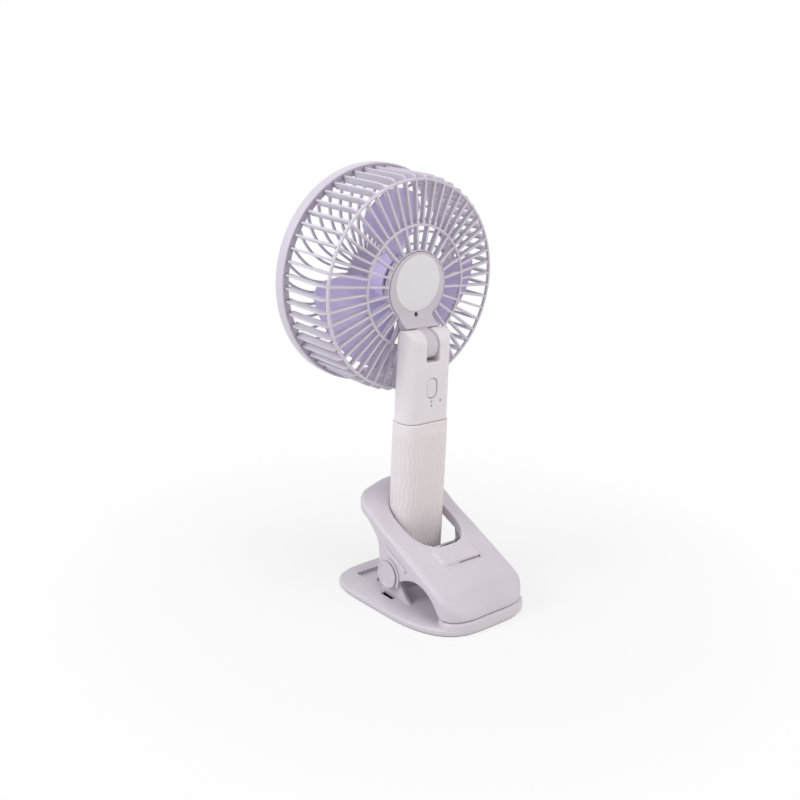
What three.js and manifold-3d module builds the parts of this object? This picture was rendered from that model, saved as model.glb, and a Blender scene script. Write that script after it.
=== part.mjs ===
// Clip-on fan with a tilting head, a swivelling handle and a sprung jaw.
// Millimetres, +Z up. The origin is on the underside, under the middle of the handle.
// Air leaves the head towards -Y, the jaw's tip points to +Y and the jaw's pin runs along X.
import * as THREE from "three";
import { mergeVertices } from "three/addons/utils/BufferGeometryUtils.js";
import Module from "manifold-3d";

const wasm = await Module();
wasm.setup();

// ---- general clearances -------------------------------------------------------------------
const SEAT_GAP = 0.3; // between two pieces that touch or are fastened
const RUN_GAP = 0.4; // between pieces that turn or slide on each other

// ---- handle -------------------------------------------------------------------------------
const GRIP_W = 36.2;
const GRIP_D = 20.8;
const GRIP_CORNER_R = 8.2;
const GRIP_WALL = 1.1;
const GRIP_TOP_WALL = 2.6;
const GRIP_BOTTOM_Z = 5.6; // foot of the grip in its socket
const SEAM_Z = 111; // joint between the grip and the upper handle
const UPPER_W_LOW = 35.2; // upper handle just over the seam
const UPPER_W_HIGH = 34.0; // and at the fork
const UPPER_D = 19;
const UPPER_CORNER_R = 7.6;
const UPPER_WALL = 1.6;
const UPPER_BRIDGE = 3.2; // solid floor under the fork's slot

// ---- tilt joint of the head -----------------------------------------------------------------
const TILT_Z = 158.3;
const FORK_R = 10; // rounded fork top, round the tilt axis
const SLOT_W = 10;
const BARREL_R = 8.6;
const TILT_PIN_R = 1.75;
const TILT_PIN_COVER = 1.6; // wall left outside each end of the pin
const HEAD_LEAN_DEG = 2.6; // the head leans back by this much at rest

// ---- head -----------------------------------------------------------------------------------
const HEAD_H = 33.8; // tilt axis to the middle of the head
const SLATS = 52; // round the side and out to the inner ring
const SLAT_T = 1.5;
const SLAT_REAR_DEPTH = 3.6;
const SLAT_SIDE_DEPTH = 4.6;
const SLAT_R_REAR = 67.2; // outside of the side slats just past the corner
const SLAT_R_FRONT = 67.8; // outside of the side slats at the bezel
const CAGE_CORNER_R = 5;
const RING_OUTER_SET_IN = 3.2; // the outer thin ring, inside the slats' corner
const RING_OUTER_Y = -12.9;
const RING_INNER_R = 37.5;
const RING_INNER_Y = -10.8;
const RING_W = 1.3;
const RING_DEPTH = 1.6;
const CAGE_HUB_R = 22.6;
const CAGE_HUB_WALL = 0.9;
const CAGE_HUB_Y = -10.1;
const CAGE_HUB_PLATE = 2.0;
const BEZEL_R = 69.7;
const BEZEL_REAR_Y = -53.4;
const BEZEL_DEPTH = 7;
const BEZEL_BAND = 5.2; // radial width of the bezel
const HUB_COVER_R = 21.4;
const HUB_COVER_Y = -9.5;
const HUB_COVER_T = 2.1;
const LABEL_R = 17.3;
const LABEL_T = 0.3;
const LABEL_UP = 2.6; // the label's centre over the head's centre
const NECK_W = 26.6;
const NECK_FOOT_Y = -1.5; // the neck's back slopes out to here, over the fork's top
const NECK_FOOT_T = 0.9;
const HUB_SCREW_R = 1.3;
const HUB_SCREW_DOWN = 16.8; // under the head's centre

// ---- front grille, motor and rotor -----------------------------------------------------------
const GRILLE_BARS = 36;
const GRILLE_BAR_T = 1.5;
const GRILLE_BAR_DEPTH = 2.2;
const GRILLE_SWEEP_DEG = 22; // each bar curls by this much from the centre to the rim
const GRILLE_CAP_R = 15.5;
const GRILLE_CAP_T = 2.4;
const BADGE_R = 12.5;
const BADGE_T = 0.8;
const MOTOR_R = 12.5;
const MOTOR_LEN = 20;
const MOTOR_BOSS_R = 4.2;
const MOTOR_BOSS_H = 2;
const SHAFT_R = 1;
const SHAFT_OUT = 15; // shaft end in front of the motor
const ROTOR_R = 57.5;
const ROTOR_HUB_R = 17.5;
const ROTOR_HUB_DEPTH = 15;
const ROTOR_HUB_WALL = 1.8;
const BLADES = 3;
const BLADE_START_DEG = -30; // where the first blade stands
const BLADE_T = 1.8;
const BLADE_ROOT_DEG = 40; // blade pitch at the hub
const BLADE_TIP_DEG = 24; // and at the tip
const BLADE_ROOT_SPAN_DEG = 80;
const BLADE_TIP_SPAN_DEG = 86;
const BLADE_SWEEP_DEG = -10;
const ROTOR_CAP_R = 5;

// ---- upper handle fittings --------------------------------------------------------------------
const BUTTON_Z = 133;
const BUTTON_W = 8;
const BUTTON_H = 12.4;
const BUTTON_T = 2.6;
const BUTTON_SINK = 0.3; // face under the handle's surface
const BUTTON_TRAVEL = 0.8;
const LED_R = 0.75;
const LED_ROWS = [
  [0, 124.5],
  [-7.3, 124.4],
  [0, 121.8],
];
const BOARD_W = 22;
const BOARD_H = 26;
const BOARD_T = 1.2;
const SWITCH_SIZE = 5;

// ---- swivel joint ---------------------------------------------------------------------------
const STEM_R = 5.8;
const STEM_BORE_R = 3;
const STEM_PLATE_T = 2.4;
const RETAINER_R = 8.6;
const RETAINER_T = 2.2;

// ---- battery --------------------------------------------------------------------------------
const CELL_R = 9.15;
const CELL_LEN = 65;
const CELL_FLOOR_Z = 15;
const CONTACT_T = 0.8;

// ---- widths that the base and the jaw share ----------------------------------------------------
const JAW_HALF_W = 33.2;
const CAP_SEAT = 1.2; // depth of the cap's seat in the ear
const POST_SET_IN = 3.4; // outer face of each post inside the jaw's side
const POST_OUT_X = JAW_HALF_W - POST_SET_IN;

// ---- base ------------------------------------------------------------------------------------
const BASE_CY = 20.5;
const BASE_HALF_L = 54.2;
const BASE_HALF_W = 45.5;
const BASE_TAPER = 6.6; // narrower towards the jaw's tip
const BASE_POWER = 3.76;
const PLATE_TOP_Z = 4.6;
const PLATE_EDGE_R = 1.4;
const FOOT_T = 1;
const FOOT_PROUD = 0.6;
const FOOT_INSET = 6;
const LIP_TOP_Z = 8.2; // raised front of the plate, which the jaw closes on
const LIP_LEN = 19;
const LIP_HALF_W = 32;
const SOCKET_WALL = 1.7;
const GRIP_SCREW_X = 10; // the two screws up into the grip's plug
const GRIP_SCREW_R = 1.35;
const SOCKET_TOP_Z = 11.6; // clear of the spring's coils
const POST_T = 2.8;
const POST_R = 6.6;
const POST_FOOT_BACK = 4.6;
const POST_FOOT_FRONT = 34;
const SLOT_LEN = 10.5; // moulding slots in the plate under the jaw's ears
const SLOT_WIDTH = 4;
const RECESS_DEPTH = 2.2;
const RECESS_LEN = 8;
const RECESS_HALF_W = 29;
const RECESS_BACK_Y = -23;

// ---- jaw -------------------------------------------------------------------------------------
const PIVOT_Y = 13.2;
const PIVOT_Z = 19.3;
const PIVOT_R = 1.6;
const PIN_SHORT = 1.4; // the pin ends this far inside the seat of each cap
const JAW_WALL = 2.2;
const EAR_R = 9.3;
const CAP_R = 8.5;
const CAP_PROUD = 1.1;
const JAW_BACK_Y = -27;
const JAW_FRONT_Y = 72.6;
const JAW_BACK_ARC_R = 62;
const JAW_BACK_CORNER_R = 11;
const JAW_FRONT_CORNER_R = 15;
const JAW_CROWN = 2.4;
const JAW_EDGE_R = 3.6;
const JAW_EDGE_Z = 8.6; // lower edge of the jaw's front
const OPEN_CY = 9;
const OPEN_HALF_W = 20.4;
const OPEN_HALF_L = 23.2;
const OPEN_POWER = 2.6;
const SKIRT_T = 1.6;
const SKIRT_DEPTH = 7;
const TAB_HALF_W = 15;
const TAB_LEN = 13;
const TAB_RISE = 0.7;
const RIDGE_W = 1.6;
const RIDGE_BACK = 2.2; // its upper end behind the pin, and its lower end in front
const RIDGE_FRONT = 17.6;
const RIDGE_UP = 8.7; // upper end over the ear
const RIDGE_PROUD = 0.5;
const PAD_T = 1.6;
const PAD_HALF_W = 21;
const PAD_LEN = 9;
const PAD_SETBACK = 6; // behind the jaw's front
const LEDGE_HALF_W = 5;
const LEDGE_T = 1.5;

// ---- spring ----------------------------------------------------------------------------------
const WIRE_R = 0.8;
const COIL_R = 6.4;
const COIL_TURNS = 3; // in each of the two coils
const COIL_PITCH = 2.1;
const BAIL_DEG = 122.7; // the wire leaves each coil here
const BAIL_REACH = 18.1; // from each coil to the cross bar
const BAIL_HALF_W = 14.6; // the arms draw in to this at the cross bar
const BAIL_BEND_R = 3;
const LEG_LEN = 21.6; // back legs, down to the plate

// ================================ helpers =====================================================
const V = (x, y, z) => new THREE.Vector3(x, y, z);
const rad = THREE.MathUtils.degToRad;

// A closed geometry as a solid that can be cut and joined; a reversed one is turned round.
function solid(geometry) {
  let g = geometry.index ? geometry.toNonIndexed() : geometry.clone();
  for (const k of Object.keys(g.attributes)) if (k !== "position") g.deleteAttribute(k);
  g = mergeVertices(g, 1e-4);
  const keep = [];
  const ix = g.index.array;
  for (let i = 0; i < ix.length; i += 3) {
    const [a, b, c] = [ix[i], ix[i + 1], ix[i + 2]];
    if (a !== b && b !== c && a !== c) keep.push(a, b, c);
  }
  const make = (tris) =>
    new wasm.Manifold(
      new wasm.Mesh({
        numProp: 3,
        vertProperties: new Float32Array(g.attributes.position.array),
        triVerts: new Uint32Array(tris),
      }),
    );
  let s = make(keep);
  if (s.volume() < 0) {
    for (let i = 0; i < keep.length; i += 3) [keep[i], keep[i + 1]] = [keep[i + 1], keep[i]];
    s = make(keep);
  }
  return s;
}

function geometryOf(s) {
  const m = s.getMesh();
  const p = new Float32Array(m.numVert * 3);
  for (let i = 0; i < m.numVert; i++)
    for (let k = 0; k < 3; k++) p[3 * i + k] = m.vertProperties[m.numProp * i + k];
  const g = new THREE.BufferGeometry();
  g.setAttribute("position", new THREE.BufferAttribute(p, 3));
  g.setIndex(new THREE.BufferAttribute(new Uint32Array(m.triVerts), 1));
  g.computeVertexNormals();
  return g;
}

const join = (list) => list.reduce((a, b) => a.add(b));
const cut = (a, list) => list.reduce((s, b) => s.subtract(b), a);

// Box between two corners.
function box(x0, x1, y0, y1, z0, z1) {
  const g = new THREE.BoxGeometry(x1 - x0, y1 - y0, z1 - z0);
  g.translate((x0 + x1) / 2, (y0 + y1) / 2, (z0 + z1) / 2);
  return solid(g);
}

// Closed body through equal-count rings of points.
function loft(rings) {
  const n = rings[0].length;
  const pos = [];
  for (const r of rings) for (const p of r) pos.push(p.x, p.y, p.z);
  const mid = (r) => {
    const c = V(0, 0, 0);
    for (const p of r) c.add(p);
    return c.multiplyScalar(1 / n);
  };
  const c0 = mid(rings[0]);
  const c1 = mid(rings[rings.length - 1]);
  pos.push(c0.x, c0.y, c0.z, c1.x, c1.y, c1.z);
  const i0 = rings.length * n;
  const tri = [];
  for (let j = 0; j < rings.length - 1; j++)
    for (let i = 0; i < n; i++) {
      const a = j * n + i;
      const b = j * n + ((i + 1) % n);
      tri.push(a, b, b + n, a, b + n, a + n);
    }
  for (let i = 0; i < n; i++) {
    const k = (i + 1) % n;
    tri.push(i0, k, i);
    tri.push(i0 + 1, (rings.length - 1) * n + i, (rings.length - 1) * n + k);
  }
  const g = new THREE.BufferGeometry();
  g.setAttribute("position", new THREE.Float32BufferAttribute(pos, 3));
  g.setIndex(tri);
  return solid(g);
}

// Flat outline given as [u, v] pairs, made thick along +w.
function extruded(points, depth) {
  const shape = new THREE.Shape(points.map((p) => new THREE.Vector2(p[0], p[1])));
  return new THREE.ExtrudeGeometry(shape, { depth, bevelEnabled: false, steps: 1 });
}

// Outline in Y and Z, made thick along X from x0 to x1.
function slabX(points, x0, x1) {
  const g = extruded(points, x1 - x0);
  g.applyMatrix4(new THREE.Matrix4().makeBasis(V(0, 1, 0), V(0, 0, 1), V(1, 0, 0)));
  g.translate(x0, 0, 0);
  return solid(g);
}

// Outline in X and Y, made thick along Z from z0 to z1.
function slabZ(points, z0, z1) {
  const g = extruded(points, z1 - z0);
  g.translate(0, 0, z0);
  return solid(g);
}

// Turned body. The profile is [radius, height] pairs, closed or ending on the axis.
function turned(profile, segments, axis) {
  const g = new THREE.LatheGeometry(
    profile.map((p) => new THREE.Vector2(p[0], p[1])),
    segments,
  );
  if (axis === "z") g.rotateX(Math.PI / 2);
  if (axis === "x") g.rotateZ(-Math.PI / 2);
  return solid(g);
}
const rod = (r, a, b, segments, axis) =>
  turned([[0, a], [r, a], [r, b], [0, b]], segments, axis);
const pipe = (ri, ro, a, b, segments, axis) =>
  turned([[ri, a], [ro, a], [ro, b], [ri, b], [ri, a]], segments, axis);

function roundedRect(w, d, r, corner = 4) {
  const out = [];
  const cs = [
    [w / 2 - r, d / 2 - r, 0],
    [-w / 2 + r, d / 2 - r, 90],
    [-w / 2 + r, -d / 2 + r, 180],
    [w / 2 - r, -d / 2 + r, 270],
  ];
  for (const [cx, cy, a0] of cs)
    for (let i = 0; i <= corner; i++) {
      const a = rad(a0 + (90 * i) / corner);
      out.push([cx + r * Math.cos(a), cy + r * Math.sin(a)]);
    }
  return out;
}
const at = (points, z) => points.map((p) => V(p[0], p[1], z));

function power(c, n) {
  return Math.sign(c) * Math.abs(c) ** (2 / n);
}
// Rounded-square outline round (0, cy); the half width changes by taper along y.
function squircle(cy, halfL, halfW, taper, n, steps, inset = 0) {
  const out = [];
  for (let i = 0; i < steps; i++) {
    const t = (2 * Math.PI * i) / steps;
    const w = halfW - inset - taper * Math.cos(t);
    out.push([w * power(Math.sin(t), n) * -1, cy + (halfL - inset) * power(Math.cos(t), n)]);
  }
  return out;
}
function lerpTable(table, x) {
  if (x <= table[0][0]) return table[0][1];
  for (let i = 1; i < table.length; i++)
    if (x <= table[i][0]) {
      const [x0, y0] = table[i - 1];
      const [x1, y1] = table[i];
      return y0 + ((y1 - y0) * (x - x0)) / (x1 - x0);
    }
  return table[table.length - 1][1];
}

// ================================ materials ====================================================
const paint = (color, roughness, metalness = 0) =>
  new THREE.MeshStandardMaterial({ color, roughness, metalness });
const SHELL = paint(0xd9d4de, 0.45);
const LILAC = paint(0xb9b2de, 0.4);
const WHITE = paint(0xf1eff4, 0.5);
const STEEL = paint(0xb4b6ba, 0.3, 1);
const DARK = paint(0x2b2b30, 0.6);
const GREEN = paint(0x2f6b46, 0.6);
const RUBBER = paint(0x35353a, 0.85);
const CELL = paint(0x5a86b8, 0.5);

const root = new THREE.Group();
root.name = "clip_fan";
function put(name, s, material, parent = root) {
  const m = new THREE.Mesh(geometryOf(s), material);
  m.name = name;
  parent.add(m);
  return m;
}

// ================================ head =========================================================
// The head's own frame: origin on the tilt axis, +Y out of its back, +Z up its neck.
const head = new THREE.Group();
head.position.set(0, 0, TILT_Z);
head.rotation.x = -rad(HEAD_LEAN_DEG);
root.add(head);
const core = new THREE.Group(); // round the head's middle line
core.position.set(0, 0, HEAD_H);
head.add(core);

// Height of the cage's back at a radius: a slight dome through both thin rings.
const ringOuterR = SLAT_R_REAR - RING_OUTER_SET_IN;
const domeSlope = (RING_OUTER_Y - RING_INNER_Y) / (ringOuterR - RING_INNER_R);
const domeY = (r) => RING_INNER_Y + domeSlope * (r - RING_INNER_R);
const pitch = (2 * Math.PI) / SLATS;
const bezelSeatY = BEZEL_REAR_Y + 0.9; // the slats end here, inside the bezel's rear lip

// One slat's outline in radius and depth: straight out, round the corner and down the side.
function slatOutline(rIn) {
  const c = CAGE_CORNER_R;
  const cy = domeY(SLAT_R_REAR - c) - c;
  const cx = SLAT_R_REAR - c;
  const out = [[rIn, domeY(rIn)]];
  const inner = [];
  for (const a of [84, 42, 0]) {
    out.push([cx + c * Math.cos(rad(a)), cy + c * Math.sin(rad(a))]);
  }
  out.push([SLAT_R_FRONT, bezelSeatY]);
  inner.push([SLAT_R_FRONT - SLAT_SIDE_DEPTH, bezelSeatY]);
  inner.push([SLAT_R_REAR - SLAT_SIDE_DEPTH, domeY(cx) - SLAT_REAR_DEPTH]);
  inner.push([rIn, domeY(rIn) - SLAT_REAR_DEPTH]);
  return [...out, ...inner];
}
function radialSlab(points, t, angle) {
  const g = extruded(points, t);
  g.translate(0, 0, -t / 2);
  const c = Math.cos(angle);
  const s = Math.sin(angle);
  g.applyMatrix4(new THREE.Matrix4().makeBasis(V(c, 0, s), V(0, 1, 0), V(-s, 0, c)));
  return solid(g);
}
const plateTop = HUB_COVER_Y - HUB_COVER_T - SEAT_GAP; // seat of the hub cover in the cage
const tongueFrontY = HUB_COVER_Y - 1.3; // front face of the neck's tongue
{
  const parts = [];
  const ringStart = pitch / 2; // ring corners fall half way between slats
  const ring = (r, y) => {
    const g = new THREE.LatheGeometry(
      [
        [r - RING_W / 2, y - RING_DEPTH],
        [r + RING_W / 2, y - RING_DEPTH],
        [r + RING_W / 2, y + 0.15],
        [r - RING_W / 2, y + 0.15],
        [r - RING_W / 2, y - RING_DEPTH],
      ].map((p) => new THREE.Vector2(p[0], p[1])),
      SLATS,
      ringStart,
    );
    return solid(g);
  };
  parts.push(ring(ringOuterR, RING_OUTER_Y), ring(RING_INNER_R, RING_INNER_Y));
  for (let k = 0; k < SLATS; k++) {
    const a = (k + 0.5) * pitch;
    parts.push(radialSlab(slatOutline(RING_INNER_R), SLAT_T, a));
    // every second one runs on to the hub, deeper where it meets the hub's plate
    if (k % 2 === 0) {
      const r0 = CAGE_HUB_R - 0.6;
      const bar = [
        [r0, domeY(r0)],
        [RING_INNER_R + 0.4, domeY(RING_INNER_R + 0.4)],
        [RING_INNER_R + 0.4, domeY(RING_INNER_R + 0.4) - SLAT_REAR_DEPTH],
        [r0, plateTop - CAGE_HUB_PLATE + 0.2],
      ];
      parts.push(radialSlab(bar, SLAT_T, a));
    }
  }
  const hub = turned(
    [
      [MOTOR_BOSS_R + SEAT_GAP, plateTop - CAGE_HUB_PLATE],
      [CAGE_HUB_R, plateTop - CAGE_HUB_PLATE],
      [CAGE_HUB_R, CAGE_HUB_Y],
      [CAGE_HUB_R - CAGE_HUB_WALL, CAGE_HUB_Y],
      [CAGE_HUB_R - CAGE_HUB_WALL, plateTop],
      [MOTOR_BOSS_R + SEAT_GAP, plateTop],
      [MOTOR_BOSS_R + SEAT_GAP, plateTop - CAGE_HUB_PLATE],
    ],
    36,
    "y",
  );
  parts.push(hub);
  let cage = join(parts);
  // room for the neck at the hub's lower edge, and the hub screw's hole
  const nw = NECK_W / 2 + SEAT_GAP;
  const neckFoot = HEAD_H - FORK_R - RUN_GAP + SEAT_GAP;
  cage = cage.subtract(box(-nw, nw, plateTop, 0, -neckFoot, -HUB_COVER_R * 0.6));
  // the bars behind the tongue of the neck are thinned to clear it
  const tw = SLOT_W / 2 + 0.2;
  cage = cage.subtract(box(-tw, tw, tongueFrontY - SEAT_GAP, 0, -HEAD_H + 1, -neckFoot));
  put("rear_cage", cage, SHELL, core);
}

// Hub cover with the neck that runs down to the tilt joint's barrel.
{
  const disc = turned(
    [
      [0, HUB_COVER_Y - HUB_COVER_T],
      [HUB_COVER_R, HUB_COVER_Y - HUB_COVER_T],
      [HUB_COVER_R, HUB_COVER_Y - 0.5],
      [HUB_COVER_R - 0.6, HUB_COVER_Y],
      [0, HUB_COVER_Y],
    ],
    48,
    "y",
  );
  const up = (s) => s.translate([0, 0, HEAD_H]);
  const neckBottom = FORK_R + RUN_GAP;
  const neckTop = HEAD_H - HUB_COVER_R * 0.62;
  const yTop = HUB_COVER_Y;
  const neck = slabX(
    [
      [yTop - HUB_COVER_T, neckTop],
      [yTop - HUB_COVER_T, neckBottom],
      [yTop + 0.1, neckBottom],
      ...[45, 33, 21].map((a) => [-neckBottom * Math.sin(rad(a)), neckBottom * Math.cos(rad(a))]),
      [NECK_FOOT_Y, Math.sqrt(neckBottom ** 2 - NECK_FOOT_Y ** 2)],
      [NECK_FOOT_Y, neckBottom + NECK_FOOT_T],
      [(NECK_FOOT_Y + yTop) / 2 - 0.9, neckBottom + NECK_FOOT_T + 3],
      [yTop + 1.1, neckBottom + 6.6],
      [yTop, neckBottom + 8.6],
      [yTop, neckTop],
    ],
    -NECK_W / 2,
    NECK_W / 2,
  );
  const tongueHalf = SLOT_W / 2 - SEAT_GAP;
  const barrel = rod(BARREL_R, -tongueHalf, tongueHalf, 28, "x");
  const tongue = slabX(
    [
      [tongueFrontY, neckBottom + 0.3],
      [tongueFrontY, neckBottom - 2],
      [-BARREL_R * 0.98, 0.6],
      [BARREL_R * 0.42, BARREL_R * 0.86],
      [yTop - 0.6, neckBottom + 2.4],
    ],
    -tongueHalf,
    tongueHalf,
  );
  let s = join([up(disc), neck, barrel, tongue]);
  s = cut(s, [
    rod(TILT_PIN_R + SEAT_GAP, -SLOT_W, SLOT_W, 20, "x"),
    rod(HUB_SCREW_R + 0.15, HUB_COVER_Y - 1.2, 0, 16, "y").translate([0, 0, HEAD_H - HUB_SCREW_DOWN]),
  ]);
  put("hub_cover", s, SHELL, head);
}
{
  const y0 = HUB_COVER_Y - 1.2 + 0.02;
  const s = rod(HUB_SCREW_R, y0 + 0.2, y0 + 0.9, 16, "y");
  put("hub_screw", s, DARK, core).position.set(0, 0, -HUB_SCREW_DOWN);
}
{
  const y0 = HUB_COVER_Y + 0.05;
  put("label_disc", rod(LABEL_R, y0, y0 + LABEL_T, 36, "y"), WHITE, core).position.set(0, 0, LABEL_UP);
}

// Front: bezel ring, curled bars and centre disc in one moulding.
const bezelFrontY = BEZEL_REAR_Y - BEZEL_DEPTH;
const bezelInR = BEZEL_R - BEZEL_BAND;
{
  const lip = SLAT_R_FRONT + SEAT_GAP + 0.15;
  const bezel = turned(
    [
      [bezelInR, bezelFrontY + 0.8],
      [bezelInR + 0.8, bezelFrontY],
      [BEZEL_R - 1.6, bezelFrontY],
      [BEZEL_R, bezelFrontY + 1.6],
      [BEZEL_R, bezelSeatY + 0.3],
      [BEZEL_R - 0.4, bezelSeatY + 0.7],
      [lip, bezelSeatY + 0.7],
      [lip, bezelSeatY - SEAT_GAP],
      [bezelInR, bezelSeatY - SEAT_GAP],
      [bezelInR, bezelFrontY + 0.8],
    ],
    48,
    "y",
  );
  const parts = [bezel];
  const steps = 2;
  const barTop = bezelFrontY + GRILLE_BAR_DEPTH + 0.4;
  for (let k = 0; k < GRILLE_BARS; k++) {
    const left = [];
    const right = [];
    for (let i = 0; i <= steps; i++) {
      const f = i / steps;
      const r = GRILLE_CAP_R - 1 + (bezelInR + 1.2 - GRILLE_CAP_R + 1) * f;
      const a = (2 * Math.PI * k) / GRILLE_BARS + rad(GRILLE_SWEEP_DEG) * f * f;
      const slope = (2 * rad(GRILLE_SWEEP_DEG) * f * r) / (bezelInR - GRILLE_CAP_R);
      const n = Math.hypot(1, slope);
      const [ox, oy] = [slope / n, -1 / n];
      const h = GRILLE_BAR_T / 2;
      const px = (s) => [
        r * Math.cos(a) + s * h * (ox * Math.cos(a) - oy * Math.sin(a)),
        r * Math.sin(a) + s * h * (ox * Math.sin(a) + oy * Math.cos(a)),
      ];
      left.push(px(1));
      right.push(px(-1));
    }
    const outline = [...left, ...right.reverse()];
    const g = extruded(outline, GRILLE_BAR_DEPTH);
    g.rotateX(Math.PI / 2);
    g.translate(0, barTop, 0);
    parts.push(solid(g));
  }
  const capTop = barTop;
  let cap = rod(GRILLE_CAP_R, capTop - GRILLE_CAP_T - 0.4, capTop, 36, "y");
  cap = cap.subtract(
    rod(BADGE_R + SEAT_GAP, capTop - GRILLE_CAP_T - 2, capTop - GRILLE_CAP_T - 0.4 + BADGE_T, 36, "y"),
  );
  parts.push(cap);
  put("front_grille", join(parts), SHELL, core);
  const badgeTop = capTop - GRILLE_CAP_T - 0.4 + BADGE_T - SEAT_GAP;
  put("front_badge", rod(BADGE_R, badgeTop - BADGE_T, badgeTop, 36, "y"), WHITE, core);
}

// Motor on the hub plate, with its shaft, and the rotor on the shaft.
const hubPlateFront = plateTop - CAGE_HUB_PLATE;
const motorBack = hubPlateFront - SEAT_GAP;
const motorFront = motorBack - MOTOR_LEN;
const shaftEnd = motorFront - SHAFT_OUT;
{
  const can = turned(
    [
      [SHAFT_R + SEAT_GAP, motorFront],
      [MOTOR_R - 1, motorFront],
      [MOTOR_R, motorFront + 1],
      [MOTOR_R, motorBack],
      [MOTOR_BOSS_R, motorBack],
      [MOTOR_BOSS_R, motorBack + MOTOR_BOSS_H],
      [0, motorBack + MOTOR_BOSS_H],
      [0, motorBack - 3],
      [SHAFT_R + SEAT_GAP, motorBack - 3],
      [SHAFT_R + SEAT_GAP, motorFront],
    ],
    32,
    "y",
  );
  put("motor", can, STEEL, core);
  put("motor_shaft", rod(SHAFT_R, shaftEnd, motorBack - 3 - SEAT_GAP, 14, "y"), STEEL, core);
}
const hubBackY = motorFront + ROTOR_HUB_DEPTH - 3;
const hubFrontY = motorFront - 4;
{
  const wallR = ROTOR_HUB_R - ROTOR_HUB_WALL;
  const hub = turned(
    [
      [SHAFT_R + SEAT_GAP, hubFrontY],
      [ROTOR_HUB_R - 3, hubFrontY],
      [ROTOR_HUB_R, hubFrontY + 3],
      [ROTOR_HUB_R, hubBackY],
      [wallR, hubBackY],
      [wallR, hubFrontY + 3.2],
      [wallR - 1.6, hubFrontY + ROTOR_HUB_WALL],
      [SHAFT_R + SEAT_GAP + 2, hubFrontY + ROTOR_HUB_WALL],
      [SHAFT_R + SEAT_GAP, hubFrontY + ROTOR_HUB_WALL],
      [SHAFT_R + SEAT_GAP, hubFrontY],
    ],
    30,
    "y",
  );
  const parts = [hub];
  // Each blade is lofted through arcs at growing radius, with its pitch easing to the tip.
  const rootR = ROTOR_HUB_R - 0.9;
  const radii = [0, 0.28, 0.57, 0.82, 1].map((f) => rootR + (ROTOR_R - rootR) * f);
  const chordSteps = 7;
  const yMid = (hubBackY + hubFrontY) / 2;
  for (let b = 0; b < BLADES; b++) {
    const rings = radii.map((r, j) => {
      const f = (r - radii[0]) / (ROTOR_R - radii[0]);
      const span = rad(BLADE_ROOT_SPAN_DEG + (BLADE_TIP_SPAN_DEG - BLADE_ROOT_SPAN_DEG) * f);
      const tip = j === radii.length - 1;
      const shrink = tip ? 0.72 : 1 - 0.1 * f;
      const twist = rad(BLADE_ROOT_DEG + (BLADE_TIP_DEG - BLADE_ROOT_DEG) * f);
      const sweep = rad(BLADE_START_DEG + BLADE_SWEEP_DEG * f) + (2 * Math.PI * b) / BLADES;
      const half = BLADE_T / 2;
      const front = [];
      const back = [];
      for (let i = 0; i <= chordSteps; i++) {
        const g = i / chordSteps - 0.5;
        const a = sweep + g * span * shrink;
        const rr = r * (tip ? 1 - 0.03 * Math.abs(g) * 2 : 1);
        const rise = Math.min(rr * span * shrink * Math.tan(twist), hubBackY - hubFrontY + 6);
        const y = yMid - g * rise + 1.2 * Math.cos(Math.PI * g);
        const edge = half * (i === 0 || i === chordSteps ? 0.55 : 1);
        front.push(V(rr * Math.cos(a), y - edge, rr * Math.sin(a)));
        back.push(V(rr * Math.cos(a), y + edge, rr * Math.sin(a)));
      }
      return [...front, ...back.reverse()];
    });
    parts.push(loft(rings));
  }
  put("rotor", join(parts), LILAC, core);
}
put(
  "rotor_cap",
  turned(
    [
      [0, shaftEnd - 1.2],
      [ROTOR_CAP_R - 1.5, shaftEnd - 1.2],
      [ROTOR_CAP_R, shaftEnd + 0.4],
      [ROTOR_CAP_R, hubFrontY - SEAT_GAP],
      [SHAFT_R + 0.3, hubFrontY - SEAT_GAP],
      [SHAFT_R + 0.3, shaftEnd - 0.3],
      [0, shaftEnd - 0.3],
    ],
    24,
    "y",
  ),
  LILAC,
  core,
);

// ================================ upper handle ==================================================
const upper = new THREE.Group();
root.add(upper);
const slotFloorZ = TILT_Z - BARREL_R - RUN_GAP;
const upperRoomTop = slotFloorZ - UPPER_BRIDGE;
const upperFoot = SEAM_Z + SEAT_GAP;
const forkTop = TILT_Z + FORK_R;
const widthAt = (z) =>
  UPPER_W_LOW + ((UPPER_W_HIGH - UPPER_W_LOW) * (z - upperFoot)) / (forkTop - upperFoot);
const upperRoomW = UPPER_W_HIGH - 2 * UPPER_WALL;
const upperRoomD = UPPER_D - 2 * UPPER_WALL;
const ovalPoints = (w, h, n = 8) => {
  const out = [];
  const r = w / 2;
  for (let i = 0; i <= n; i++)
    out.push([r * Math.cos((Math.PI * i) / n), h / 2 - r + r * Math.sin((Math.PI * i) / n)]);
  for (let i = 0; i <= n; i++)
    out.push([-r * Math.cos((Math.PI * i) / n), -h / 2 + r - r * Math.sin((Math.PI * i) / n)]);
  return out;
};
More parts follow.
